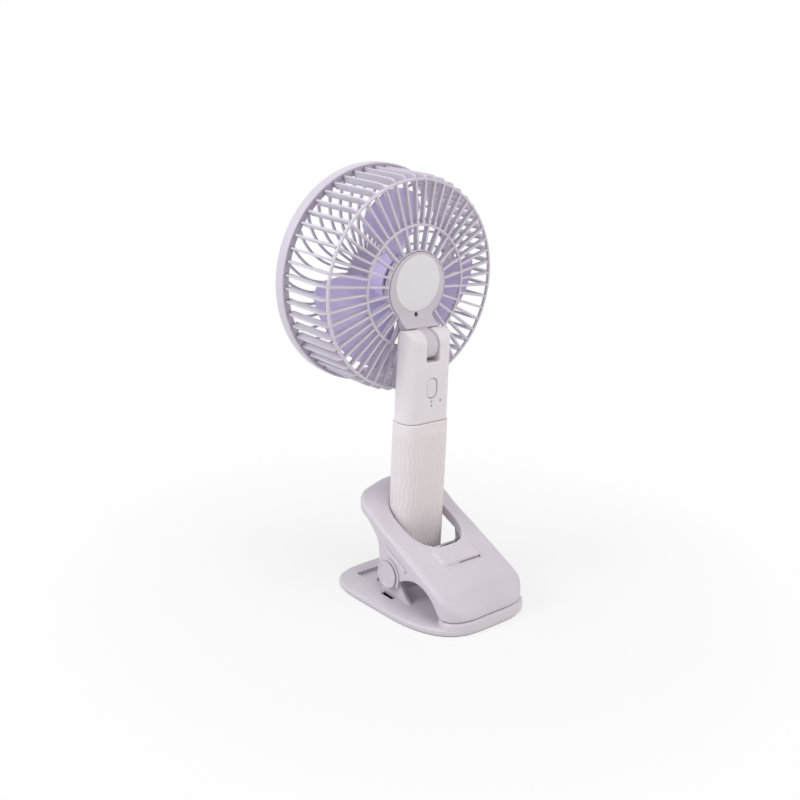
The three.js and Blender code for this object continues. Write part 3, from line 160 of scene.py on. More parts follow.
def loft(name, sections):
    """Draws each section and bridges it to the next one."""
    strands = [trace(name, s, fill=False) for s in sections]
    piece = take(*strands)
    bpy.ops.object.join()
    bpy.ops.object.mode_set(mode="EDIT")
    bpy.ops.mesh.select_mode(type="VERT")

    def pick(*groups):
        wanted = KDTree(sum(len(g) for g in groups))
        for k, p in enumerate(p for g in groups for p in g):
            wanted.insert(p, k)
        wanted.balance()
        bpy.ops.mesh.select_all(action="DESELECT")
        mesh = bmesh.from_edit_mesh(piece.data)
        for v in mesh.verts:
            v.select = wanted.find(v.co)[2] < 4e-3
        mesh.select_flush_mode()
        for e in mesh.edges:
            e.select = e.verts[0].select and e.verts[1].select and len(e.link_faces) < 2
        bmesh.update_edit_mesh(piece.data)

    for a, b in zip(sections, sections[1:]):
        pick(a, b)
        bpy.ops.mesh.select_mode(type="EDGE")
        bpy.ops.mesh.bridge_edge_loops()
        bpy.ops.mesh.select_mode(type="VERT")
    for end in (sections[0], sections[-1]):
        pick(end)
        bpy.ops.mesh.edge_face_add()
    bpy.ops.mesh.select_all(action="SELECT")
    bpy.ops.mesh.normals_make_consistent(inside=False)
    object_mode()
    return piece


def finish_with(piece, kind, **values):
    """Adds one modifier and applies it."""
    take(piece)
    bpy.ops.object.modifier_add(type=kind)
    m = piece.modifiers[-1]
    for key, value in values.items():
        setattr(m, key, value)
    bpy.ops.object.modifier_apply(modifier=m.name)
    return piece


def carve(piece, *tools, way="DIFFERENCE"):
    """Cuts with, joins on or keeps the overlap with other solids, which are used up."""
    for tool in tools:
        finish_with(piece, "BOOLEAN", object=tool, operation=way, solver="EXACT")
        bpy.data.objects.remove(tool, do_unlink=True)
    return piece


def gather(first, *others):
    """Joins pieces that overlap into one mesh."""
    take(first, *others)
    bpy.ops.object.join()
    return first


def soften(piece, width, segments=3, angle=32):
    """Rounds the sharp edges."""
    take(piece)
    bpy.ops.object.mode_set(mode="EDIT")
    bpy.ops.mesh.select_all(action="SELECT")
    bpy.ops.mesh.remove_doubles(threshold=2e-3)
    bpy.ops.mesh.dissolve_degenerate(threshold=2e-3)
    object_mode()
    return finish_with(piece, "BEVEL", width=width, segments=segments, limit_method="ANGLE",
                       angle_limit=math.radians(angle), use_clamp_overlap=True)


def copy_of(piece, name):
    twin = piece.copy()
    twin.data = piece.data.copy()
    twin.name = name
    bpy.context.scene.collection.objects.link(twin)
    return twin


def smooth(piece, angle=35):
    take(piece)
    bpy.ops.object.shade_smooth_by_angle(angle=math.radians(angle))
    return piece


def arc(cx, cy, r, a0, a1, n):
    """Points on an arc, angles in degrees."""
    return [(cx + r * math.cos(math.radians(a0 + (a1 - a0) * i / n)),
             cy + r * math.sin(math.radians(a0 + (a1 - a0) * i / n))) for i in range(n + 1)]


def rounded_oblong(w, d, r, n=6):
    out = []
    for sx, sy, a in ((1, 1, 0), (-1, 1, 90), (-1, -1, 180), (1, -1, 270)):
        out += arc(sx * (w / 2 - r), sy * (d / 2 - r), r, a, a + 90, n)
    return out


TILT_Z = 158.3  # height of the axis on which the head tilts
HEAD_UP = 33.8  # from that axis to the middle of the head
PIVOT_Y, PIVOT_Z = 13.2, 19.3  # the jaw's pin
PIVOT = (0, PIVOT_Y, PIVOT_Z)
HEAD = (Matrix.Translation((0, 0, TILT_Z)) @ Matrix.Rotation(math.radians(-2.6), 4, "X")
        @ Matrix.Translation((0, 0, HEAD_UP)))


def settle(piece, name, body, finish, slot_name, *stands_for, on_head=False, angle=35):
    """Brings a finished piece to its place in metres and gives it its finish and its body."""
    piece.name = name
    piece.data.name = name
    rest(piece)
    if on_head:
        piece.matrix_world = HEAD
        rest(piece)
    piece.matrix_world = Matrix.Scale(0.001, 4)
    rest(piece)
    smooth(piece, angle)
    piece.data.materials.clear()
    piece.data.materials.append(finish)
    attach(piece, body)
    if stands_for:
        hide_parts(*stands_for)
    return piece


# ---------------------------------------------------------------- finishes
def wire_up(tree, a, b):
    tree.links.new(a, b)


def effect(name, inputs, outputs):
    """An empty shader group with named sockets."""
    g = bpy.data.node_groups.new(name, "ShaderNodeTree")
    for label, kind, value in inputs:
        s = g.interface.new_socket(name=label, in_out="INPUT", socket_type=kind)
        if value is not None:
            s.default_value = value
    for label, kind in outputs:
        g.interface.new_socket(name=label, in_out="OUTPUT", socket_type=kind)
    return g, g.nodes.new("NodeGroupInput"), g.nodes.new("NodeGroupOutput")


def sums(tree, how, a, b=None):
    n = tree.nodes.new("ShaderNodeMath")
    n.operation = how
    for socket, v in zip(n.inputs, (a, b)):
        if isinstance(v, (int, float)):
            socket.default_value = v
        elif v is not None:
            wire_up(tree, v, socket)
    return n.outputs[0]


def noise(tree, place, **values):
    n = tree.nodes.new("ShaderNodeTexNoise")
    for key, value in values.items():
        n.inputs[key].default_value = value
    wire_up(tree, place, n.inputs["Vector"])
    return n


def between(tree, value, low, high):
    """0 at the low value, 1 at the high one."""
    n = tree.nodes.new("ShaderNodeMapRange")
    n.inputs["From Min"].default_value = low
    n.inputs["From Max"].default_value = high
    wire_up(tree, value, n.inputs["Value"])
    return n


def build_moulded_skin():
    """Fine spark texture, soft flow clouds and slight handling marks of moulded plastic."""
    g, i, o = effect("moulded_skin", [
        ("Place", "NodeSocketVector", None), ("Grain size", "NodeSocketFloat", 2600.0),
        ("Cloud size", "NodeSocketFloat", 38.0)],
        [("Grain", "NodeSocketFloat"), ("Cloud", "NodeSocketFloat"), ("Marks", "NodeSocketFloat")])
    grain = noise(g, i.outputs["Place"], Detail=3, Roughness=0.6)
    wire_up(g, i.outputs["Grain size"], grain.inputs["Scale"])
    cloud = noise(g, i.outputs["Place"], Detail=4)
    wire_up(g, i.outputs["Cloud size"], cloud.inputs["Scale"])
    marks = noise(g, i.outputs["Place"], Scale=210, Detail=6, Distortion=1.4)
    fine = between(g, marks.outputs["Fac"], 0.56, 0.74)
    wire_up(g, grain.outputs["Fac"], o.inputs["Grain"])
    wire_up(g, cloud.outputs["Fac"], o.inputs["Cloud"])
    wire_up(g, fine.outputs["Result"], o.inputs["Marks"])
    return g


def build_edge_wear_and_hollow_shade():
    """Rubbed corners, and painted shade in hollows from ambient occlusion: 0 on flats."""
    g, i, o = effect("edge_wear_and_hollow_shade", [("Place", "NodeSocketVector", None)],
                     [("Edge", "NodeSocketFloat"), ("Hollow shade", "NodeSocketFloat")])
    geometry = g.nodes.new("ShaderNodeNewGeometry")
    ridge = between(g, geometry.outputs["Pointiness"], 0.52, 0.62)
    patch = noise(g, i.outputs["Place"], Scale=160, Detail=5)
    broken = sums(g, "MULTIPLY", ridge.outputs["Result"], patch.outputs["Fac"])
    wire_up(g, broken, o.inputs["Edge"])
    # Painted shade: hollows count darker the closer other surfaces crowd round them.
    ao = g.nodes.new("ShaderNodeAmbientOcclusion")
    ao.samples = 8
    ao.inputs["Distance"].default_value = 0.004
    away = sums(g, "SUBTRACT", 1.0, ao.outputs["AO"])
    wire_up(g, away, o.inputs["Hollow shade"])
    return g


moulded_skin = build_moulded_skin()
edge_wear_and_hollow_shade = build_edge_wear_and_hollow_shade()


def new_finish(name, colour, roughness, metal=0.0, coat=0.0):
    m = bpy.data.materials.new(name)
    m.use_nodes = True
    m.diffuse_color = (*colour, 1)
    shader = m.node_tree.nodes["Principled BSDF"]
    shader.inputs["Base Color"].default_value = (*colour, 1)
    shader.inputs["Roughness"].default_value = roughness
    shader.inputs["Metallic"].default_value = metal
    shader.inputs["Coat Weight"].default_value = coat
    place = m.node_tree.nodes.new("ShaderNodeTexCoord")
    return m, m.node_tree, shader, place.outputs["Object"]


def use(tree, group, place, **values):
    n = tree.nodes.new("ShaderNodeGroup")
    n.node_tree = group
    wire_up(tree, place, n.inputs["Place"])
    for key, value in values.items():
        n.inputs[key.replace("_", " ")].default_value = value
    return n


def ramp(tree, fac, *stops):
    n = tree.nodes.new("ShaderNodeValToRGB")
    while len(n.color_ramp.elements) < len(stops):
        n.color_ramp.elements.new(0.5)
    for e, (at, colour) in zip(n.color_ramp.elements, stops):
        e.position = at
        e.color = (*colour, 1)
    wire_up(tree, fac, n.inputs["Fac"])
    return n.outputs["Color"]


def blend_colours(tree, fac, a, b):
    n = tree.nodes.new("ShaderNodeMix")
    n.data_type = "RGBA"
    for socket, v in ((n.inputs[0], fac), (n.inputs[6], a), (n.inputs[7], b)):
        if isinstance(v, (int, float)):
            socket.default_value = v
        elif isinstance(v, tuple):
            socket.default_value = (*v, 1)
        else:
            wire_up(tree, v, socket)
    return n.outputs[2]


def span(tree, value, low, high):
    n = tree.nodes.new("ShaderNodeMapRange")
    n.inputs["To Min"].default_value = low
    n.inputs["To Max"].default_value = high
    wire_up(tree, value, n.inputs["Value"])
    return n.outputs["Result"]


def dent(tree, shader, height, distance, strength=1.0, below=None):
    n = tree.nodes.new("ShaderNodeBump")
    n.inputs["Strength"].default_value = strength
    n.inputs["Distance"].default_value = distance
    wire_up(tree, height, n.inputs["Height"])
    if below is not None:
        wire_up(tree, below, n.inputs["Normal"])
    if shader is not None:
        wire_up(tree, n.outputs["Normal"], shader.inputs["Normal"])
    return n.outputs["Normal"]


def plastic(name, colour, shade, worn, roughness, grain=0.00001, coat=0.0, grain_size=2600.0):
    """Moulded plastic: flow clouds, rubbed edges, painted shade in hollows, spark grain."""
    m, t, shader, place = new_finish(name, colour, roughness, coat=coat)
    skin = use(t, moulded_skin, place, Grain_size=grain_size)
    wear_and_shade = use(t, edge_wear_and_hollow_shade, place)
    body = ramp(t, skin.outputs["Cloud"], (0.32, shade), (0.68, colour))
    body = blend_colours(t, wear_and_shade.outputs["Edge"], body, worn)
    # Painted shade: hollows are darkened in the colour itself.
    hollow_shade = sums(t, "MULTIPLY", wear_and_shade.outputs["Hollow shade"], 0.5)
    body = blend_colours(t, hollow_shade, body, tuple(c * 0.8 for c in shade))
    wire_up(t, body, shader.inputs["Base Color"])
    rough = span(t, skin.outputs["Cloud"], roughness - 0.05, roughness + 0.06)
    rough = sums(t, "ADD", rough, sums(t, "MULTIPLY", skin.outputs["Marks"], 0.06))
    wire_up(t, rough, shader.inputs["Roughness"])
    dent(t, shader, skin.outputs["Grain"], grain, 0.6)
    return m, t, shader, place, skin


shell_finish = plastic("shell_lilac_grey_satin", (0.69, 0.64, 0.705), (0.655, 0.605, 0.67),
                       (0.79, 0.75, 0.79), 0.38)[0]
# Painted sheen: the shell's plastic drawn lighter on the handle so it reads brighter.
handle_finish = plastic("handle_satin_lightened_sheen", (0.87, 0.825, 0.86), (0.84, 0.795, 0.83),
                        (0.89, 0.85, 0.88), 0.33)[0]


def build_grip_finish():
    """Shell plastic drawn lighter as painted sheen, with staggered upright waves from just under
    the seam down, bumped and painted darker along the waves as painted shade.
    """
    m, t, shader, place, skin = plastic("grip_waved_satin", (0.87, 0.82, 0.84),
                                        (0.84, 0.79, 0.81), (0.89, 0.85, 0.87), 0.36)
    split = t.nodes.new("ShaderNodeSeparateXYZ")
    wire_up(t, place, split.inputs[0])
    x, y, z = split.outputs[0], split.outputs[1], split.outputs[2]
    around = sums(t, "ARCTAN2", y, x)
    sway = sums(t, "MULTIPLY", sums(t, "SINE", sums(t, "MULTIPLY", z, 480.0)), 0.028)
    drift = sums(t, "MULTIPLY", sums(t, "SINE", sums(t, "MULTIPLY", z, 150.0)), 0.04)
    lane = sums(t, "ADD", sums(t, "ADD", around, sway), drift)
    ribs = sums(t, "SINE", sums(t, "MULTIPLY", lane, 38.0))
    low = sums(t, "MULTIPLY", sums(t, "ADD", ribs, 1.0), 0.5)
    fade = between(t, z, 0.1045, 0.1015)
    wave_height_and_shade = sums(t, "MULTIPLY", low, fade.outputs["Result"])
    # Painted shade: the waves are darkened in the colour as well as bumped.
    body = shader.inputs["Base Color"].links[0].from_socket
    wire_up(t, blend_colours(t, wave_height_and_shade, body, (0.80, 0.74, 0.755)), shader.inputs["Base Color"])
    grain = dent(t, None, skin.outputs["Grain"], 0.00001, 0.6)
    dent(t, shader, wave_height_and_shade, 0.00024, 0.8, below=grain)
    return m


grip_finish = build_grip_finish()
cage_finish = plastic("cage_pale_lilac", (0.69, 0.645, 0.725), (0.65, 0.60, 0.69),
                      (0.80, 0.77, 0.84), 0.34)[0]
blade_finish = plastic("rotor_lilac", (0.66, 0.59, 0.89), (0.62, 0.55, 0.85),
                       (0.74, 0.69, 0.92), 0.30, coat=0.15)[0]
label_finish = plastic("label_white_film", (0.86, 0.84, 0.875), (0.83, 0.81, 0.85),
                       (0.9, 0.89, 0.92), 0.5, grain=0.000006)[0]
button_finish = plastic("button_smooth", (0.86, 0.81, 0.84), (0.83, 0.78, 0.81),
                        (0.87, 0.83, 0.86), 0.30)[0]
guide_finish = plastic("light_guide_frosted", (0.40, 0.37, 0.42), (0.36, 0.33, 0.38),
                       (0.5, 0.48, 0.52), 0.25, coat=0.3)[0]
black_finish = plastic("black_moulding", (0.022, 0.022, 0.026), (0.015, 0.015, 0.018),
                       (0.06, 0.06, 0.065), 0.5)[0]
rubber_finish = plastic("rubber_dark_grey", (0.036, 0.036, 0.041), (0.026, 0.026, 0.03),
                        (0.08, 0.08, 0.085), 0.75, grain=0.00003, grain_size=1500.0)[0]
sleeve_finish = plastic("cell_blue_sleeve", (0.06, 0.17, 0.38), (0.05, 0.14, 0.32),
                        (0.15, 0.28, 0.5), 0.3, coat=0.4)[0]
board_finish = plastic("board_green", (0.02, 0.11, 0.05), (0.015, 0.08, 0.04),
                       (0.1, 0.2, 0.1), 0.35, coat=0.3)[0]


def build_steel():
    """Bright plated wire and pins: drawn lines, small stains, painted dark reflection along edges
    seen edge-on, painted shade in hollows.
    """
    m, t, shader, place = new_finish("steel_bright", (0.62, 0.62, 0.63), 0.24, metal=1.0)
    skin = use(t, moulded_skin, place, Grain_size=900.0, Cloud_size=120.0)
    wear_and_shade = use(t, edge_wear_and_hollow_shade, place)
    body = ramp(t, skin.outputs["Cloud"], (0.3, (0.46, 0.45, 0.44)), (0.6, (0.66, 0.66, 0.67)))
    # Painted reflection: surfaces turning away from view are darkened toward near black.
    turn = t.nodes.new("ShaderNodeLayerWeight")
    turn.inputs["Blend"].default_value = 0.42
    painted_rim_shade = ramp(t, turn.outputs["Facing"], (0.18, (0, 0, 0)), (0.62, (1, 1, 1)))
    body = blend_colours(t, painted_rim_shade, body, (0.035, 0.035, 0.04))
    # Painted shade: hollows are darkened in the colour.
    body = blend_colours(t, sums(t, "MULTIPLY", wear_and_shade.outputs["Hollow shade"], 0.8), body,
                         (0.09, 0.085, 0.08))
    wire_up(t, body, shader.inputs["Base Color"])
    wire_up(t, span(t, skin.outputs["Marks"], 0.2, 0.36), shader.inputs["Roughness"])
    dent(t, shader, skin.outputs["Grain"], 0.000012, 0.5)
    return m


steel_finish = build_steel()

for node, finish in (("front_badge", label_finish), ("motor", steel_finish),
                     ("motor_shaft", steel_finish), ("rotor_cap", blade_finish),
                     ("tilt_pin", steel_finish), ("circuit_board", board_finish),
                     ("button_switch", black_finish), ("swivel_stem", black_finish),
                     ("swivel_retainer", steel_finish), ("battery_cell", sleeve_finish),
                     ("lower_contact", steel_finish), ("upper_contact", steel_finish),
                     ("battery_bridge", black_finish), ("grip_plug", black_finish),
                     ("socket_screw_left", steel_finish), ("socket_screw_right", steel_finish),
                     ("pivot_pin", steel_finish), ("jaw_pad", rubber_finish),
                     ("lip_pad", rubber_finish), ("hub_screw", black_finish),
                     ("light_guide_1", guide_finish), ("light_guide_2", guide_finish),
                     ("light_guide_3", guide_finish)):
    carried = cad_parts[node]
    for k in range(len(carried.material_slots)):
        carried.material_slots[k].material = finish


# ---------------------------------------------------------------- rear cage
SLATS = 52
PITCH = 360 / SLATS


def dome(r):
    """Height of the cage's back at a radius."""
    return -10.8 - 0.07925 * (r - 37.5)


def slat_blank():
    corner = arc(62.2, dome(62.2) - 5, 5, 86, 0, 9)
    inside = arc(60.4, dome(60.4) - 5.7, 2.2, 0, 84, 5)
    outline = [(37.5, dome(37.5))] + corner + [(67.8, -52.5), (63.2, -52.5)] + inside + [
        (37.5, dome(37.5) - 3.6)]
    blank = slab("slat", [(x, y, -0.75) for x, y in outline], (0, 0, 1.5))
    return soften(blank, 0.34, 2, 50)


def hub_bar_blank():
    outline = [(22.0, dome(22.0)), (37.9, dome(37.9)), (37.9, dome(37.9) - 3.6), (22.0, -13.7)]
    blank = slab("hub_bar", [(x, y, -0.75) for x, y in outline], (0, 0, 1.5))
    return soften(blank, 0.34, 2, 50)


def hoop(name, r, y, w, deep, c=0.42):
    """Thin ring with rounded corners across the slats."""
    a, b = r - w / 2, r + w / 2
    return spun(name, [(a + c, y), (a + c * 0.3, y - c * 0.3), (a, y - c), (a, y - deep),
                       (b, y - deep), (b, y - c), (b - c * 0.3, y - c * 0.3), (b - c, y)], 156)


def block(name, x0, x1, y0, y1, z0, z1):
    """Solid with six square faces."""
    return slab(name, [(x0, y0, z0), (x1, y0, z0), (x1, y1, z0), (x0, y1, z0)], (0, 0, z1 - z0))


def make_rear_cage():
    slat = slat_blank()
    bar = hub_bar_blank()
    parts = [hoop("outer_hoop", 64, -12.62, 1.5, 1.9), hoop("inner_hoop", 37.5, -10.5, 1.5, 1.9)]
    hub = spun("cage_hub", [(4.5, -13.9), (22.2, -13.9), (22.6, -13.5), (22.6, -10.45),
                            (22.45, -10.1), (21.85, -10.1), (21.7, -10.3), (21.7, -11.9),
                            (4.5, -11.9)], 120)
    carve(hub, block("neck_room", -14.4, 14.4, -11.9, 0, -23.9, -12.8))
    parts.append(hub)
    for k in range(SLATS):
        a = (k + 0.5) * PITCH
        for blank, every in ((slat, 1), (bar, 2)):
            if k % every:
                continue
            one = copy_of(blank, "slat_copy")
            one.rotation_euler = (0, -math.radians(a), 0)
            rest(one)
            if blank is bar and 235 < a < 305:
                carve(one, block("neck_room", -14.4, 14.4, -11.9, 0, -23.9, -12.8),
                      block("tongue_room", -5.2, 5.2, -11.1, 0, -32.8, -23.8))
            elif blank is slat and 262 < a < 278:
                carve(one, block("tongue_room", -5.2, 5.2, -11.1, 0, -45, -23.8))
            parts.append(one)
    for blank in (slat, bar):
        bpy.data.objects.remove(blank, do_unlink=True)
    return settle(gather(*parts), "rear_cage_moulding", "head", cage_finish, "shell", "rear_cage",
                  on_head=True)


# ---------------------------------------------------------------- front grille
CURLS = 36


def make_front_grille():
    bezel = spun("bezel", [
        (64.5, -59.6), (64.7, -60.1), (65.3, -60.38), (68.3, -60.38), (69.2, -60.0), (69.6, -59.3),
        (69.7, -58.6), (69.7, -52.5), (69.6, -52.1), (69.3, -51.85), (68.6, -51.8), (68.25, -52.0),
        (68.25, -52.8), (64.5, -52.8)], 168)
    steps, sweep = 14, math.radians(22)
    left, right_side = [], []
    for i in range(steps + 1):
        f = i / steps
        r = 14.5 + 51.2 * f
        a = sweep * f * f
        slope = 2 * sweep * f * r / 49.0
        n = math.hypot(1, slope)
        ox, oy = slope / n, -1 / n
        for side, s in ((left, 0.75), (right_side, -0.75)):
            side.append((r * math.cos(a) + s * (ox * math.cos(a) - oy * math.sin(a)), -57.8,
                         r * math.sin(a) + s * (ox * math.sin(a) + oy * math.cos(a))))
    blank = soften(slab("curl", left + right_side[::-1], (0, -2.2, 0)), 0.42, 2, 50)
    parts = [bezel]
    for k in range(CURLS):
        one = copy_of(blank, "curl_copy")
        one.rotation_euler = (0, -2 * math.pi * k / CURLS, 0)
        parts.append(rest(one))
    bpy.data.objects.remove(blank, do_unlink=True)
    parts.append(spun("centre_disc", [(0, -59.8), (12.8, -59.8), (12.8, -60.45), (13.0, -60.6),
                                      (14.9, -60.6), (15.35, -60.4), (15.5, -60.0), (15.5, -57.8),
                                      (0, -57.8)], 96))
    return settle(gather(*parts), "front_grille_moulding", "head", cage_finish, "shell",
                  "front_grille", on_head=True)


# ---------------------------------------------------------------- rotor
BLADES = 3


def make_rotor():
    hub = spun("rotor_hub", [
        (1.3, -38.2), (14.2, -38.2), (15.6, -37.9), (16.8, -37.0), (17.4, -35.8), (17.5, -34.8),
        (17.5, -22.4), (17.3, -22.2), (15.9, -22.2), (15.7, -22.4), (15.7, -35.0), (14.1, -36.4),
        (1.3, -36.4)], 96)
    y_mid = (-22.2 - 38.2) / 2
    sections = []
    chord = 18
    for f in (0, 0.12, 0.28, 0.43, 0.57, 0.70, 0.82, 0.90, 0.95, 0.985, 1):
        r = 16.6 + 40.9 * f
        t = max(0, (f - 0.8) / 0.2)
        shrink = 1 - 0.1 * f - 0.18 * t * t
        width = math.radians(80 + 6 * f) * shrink
        twist = math.radians(40 - 16 * f)
        front, rear = [], []
        for i in range(chord + 1):
            g = i / chord - 0.5
            a = math.radians(-30 - 10 * f) + g * width
            rr = r * (1 - 0.03 * t * abs(g) * 2)
            rise = min(rr * width * math.tan(twist), 22)
            y = y_mid - g * rise + 1.2 * math.cos(math.pi * g)
            thin = 0.75 * min(1, 0.35 + 5 * (0.5 - abs(g))) * (0.6 if f == 1 else 1)
            front.append((rr * math.cos(a), y - thin, rr * math.sin(a)))
            rear.append((rr * math.cos(a), y + thin, rr * math.sin(a)))
        sections.append(front + rear[::-1])
    blade = loft("blade", sections)
    finish_with(blade, "SUBSURF", levels=1, render_levels=1)
    parts = [hub]
    for k in range(BLADES):
        one = copy_of(blade, "blade_copy")
        one.rotation_euler = (0, -2 * math.pi * k / BLADES, 0)
        parts.append(rest(one))
    bpy.data.objects.remove(blade, do_unlink=True)
    return settle(gather(*parts), "rotor_moulding", "rotor", blade_finish, "lilac", "rotor",
                  on_head=True)


# ---------------------------------------------------------------- hub cover with its neck
def make_hub_cover():
    outline = arc(0, 0, 21.4, -45.2, 225.2, 84) + arc(-19.3, -19.45, 6, 45.2, 0, 6)[1:]
    outline += [(-13.3, -23.4), (13.3, -23.4)] + arc(19.3, -19.45, 6, 180, 134.8, 6)[:-1]
    plate = slab("cover_plate", [(x, -11.6, z) for x, z in outline], (0, 2.1, 0))
    flank = [(-10.6, -13.0), (-9.5, -13.0), (-9.45, -15.0), (-9.0, -17.0), (-8.0, -18.9),
             (-6.4, -20.5), (-4.2, -21.7), (-2.2, -22.3), (-1.5, -22.6)]
    flank += [(-10.4 * math.sin(math.radians(a)), -HEAD_UP + 10.4 * math.cos(math.radians(a)))
              for a in range(9, 46, 6)] + [(-9.4, -23.4), (-10.6, -23.4)]
    foot = slab("neck_foot", [(-13.2, y, z) for y, z in flank], (26.4, 0, 0))
    hole = rod("screw_hole", 1.45, -10.7, -5, 24, centre=(0, 0, -16.8))
    barrel = spun("barrel", [(0, -4.7), (8.0, -4.7), (8.45, -4.5), (8.6, -4.1), (8.6, 4.1),
                             (8.45, 4.5), (8.0, 4.7), (0, 4.7)], 72, axis=(1, 0, 0),
                  centre=(0, 0, -HEAD_UP))
    pin_room = rod("pin_room", 2.05, -9, 9, 40, axis=(1, 0, 0), centre=(0, 0, -HEAD_UP))
    tongue = slab("tongue", [(-4.7, -10.8, -23.1), (-4.7, -10.8, -25.4), (-4.7, -8.43, -33.2),
                             (-4.7, 3.6, -26.4), (-4.7, -1.2, -24.6), (-4.7, -10.1, -21.0)],
                  (9.4, 0, 0))
    whole = gather(plate, foot, barrel, tongue)
    finish_with(whole, "REMESH", mode="VOXEL", voxel_size=0.36)
    finish_with(whole, "SMOOTH", factor=0.5, iterations=5)
    carve(whole, hole, pin_room)
    return settle(whole, "hub_cover_moulding", "head", shell_finish, "shell", "hub_cover",
                  on_head=True, angle=50)


def make_label():
    disc = spun("label", [(0, -9.45), (17.3, -9.45), (17.3, -9.28), (17.12, -9.15), (0, -9.15)],
                96, centre=(0, 0, 2.6))
    return settle(disc, "label_film", "head", label_finish, "label", "label_disc", on_head=True)


make_rear_cage()
make_front_grille()
make_rotor()
make_hub_cover()
make_label()


# ---------------------------------------------------------------- handle over the seam
def at_height(points, z):
    return [(x, y, z) for x, y in points]


def oval(w, h, n=14):
    r = w / 2
    return arc(0, h / 2 - r, r, 0, 180, n) + arc(0, -h / 2 + r, r, 180, 360, n)


def make_upper_handle():
    def ring(z, inset):
        w = 35.2 - 1.2 * (z - 111.3) / 57
        return at_height(rounded_oblong(w - 2 * inset, 19 - 2 * inset, 7.6 - inset, 12), z)

    body = loft("upper_handle", [ring(104, 0), ring(169.3, 0)])
    top = slab("fork_top", [(-20, -20, 100), (-20, 20, 100), (-20, 20, TILT_Z)] + [
        (-20, y, z) for y, z in arc(0, TILT_Z, 10, 0, 180, 40)] + [(-20, -20, TILT_Z)], (40, 0, 0))
    carve(body, top, way="INTERSECT")
    carve(body, block("slot", -5, 5, -20, 20, 149.3, 175))
    take(body)
    bpy.ops.object.mode_set(mode="EDIT")
    bpy.ops.mesh.select_all(action="SELECT")
    bpy.ops.mesh.dissolve_limited(angle_limit=math.radians(0.6))
    object_mode()
    finish_with(body, "REMESH", mode="VOXEL", voxel_size=0.34)
    finish_with(body, "SMOOTH", factor=0.5, iterations=30)
    seam = loft("seam", [at_height(rounded_oblong(50, 40, 9, 6), z) for z in (95, 111.5)])
    room = loft("room", [at_height(rounded_oblong(30.8, 15.8, 6.0, 8), z) for z in (108.3, 146.1)])
    pin_hole = rod("pin_hole", 1.85, -15.6, 15.6, 32, axis=(1, 0, 0), centre=(0, 0, TILT_Z))
    button_hole = slab("button_hole", [(x, 5, z + 133) for x, z in oval(8.8, 13.2)], (0, 10, 0))
    carve(body, seam, room, pin_hole, button_hole)
    for x, z in ((0, 124.5), (-7.3, 124.4), (0, 121.8)):
        carve(body, rod("light_hole", 0.85, 4, 14, 20, centre=(x, 0, z)))
    return settle(body, "upper_handle_moulding", "upper_handle", handle_finish, "shell",
                  "upper_handle_shell", angle=45)


def make_button():
    button = slab("button", [(x, 6.6, z + 133) for x, z in oval(8, 12.4, 20)], (0, 2.6, 0))
    soften(button, 0.5, 4, 50)
    flange = slab("flange", [(x, 6.6, z + 133) for x, z in oval(10, 14.4, 16)], (0, 0.9, 0))
    return settle(gather(button, flange), "power_button_moulding", "button", button_finish,
                  "button", "power_button")


# ---------------------------------------------------------------- grip
def make_grip():
    def ring(z, inset):
        return at_height(rounded_oblong(36.2 - 2 * inset, 20.8 - 2 * inset, 8.2 - inset, 12), z)

    body = loft("grip", [ring(5.6, 0.4), ring(6.0, 0), ring(110.0, 0), ring(110.4, 0.06),
                         ring(110.75, 0.3), ring(111, 0.8)])
    room = loft("grip_room", [at_height(rounded_oblong(34, 18.6, 7.1, 10), z)
                              for z in (4.6, 108.4)])
    stem = rod("stem_hole", 6.2, 107, 112, 40, axis=(0, 0, 1))
    carve(body, room, stem)
    return settle(body, "grip_moulding", "base", grip_finish, "shell", "grip_shell", angle=40)


# ---------------------------------------------------------------- base plate
def squircle(cy, half_l, half_w, taper, n, steps, inset=0.0):
    out = []
    for i in range(steps):
        t = 2 * math.pi * i / steps
        w = half_w - inset - taper * math.cos(t)
        s, c = math.sin(t), math.cos(t)
        out.append((-w * math.copysign(abs(s) ** (2 / n), s),
                    cy + (half_l - inset) * math.copysign(abs(c) ** (2 / n), c)))
    return out


def base_ring(z, inset, steps=96):
    """Outline of the clip's base, drawn in from its edge."""
    return at_height(squircle(20.5, 54.2, 45.5, 6.6, 3.76, steps, inset), z)


def socket_screw_room(r, z0, z1, steps, side):
    return rod("screw_room", r, z0, z1, steps, axis=(0, 0, 1), centre=(side * 10, 0, 0))


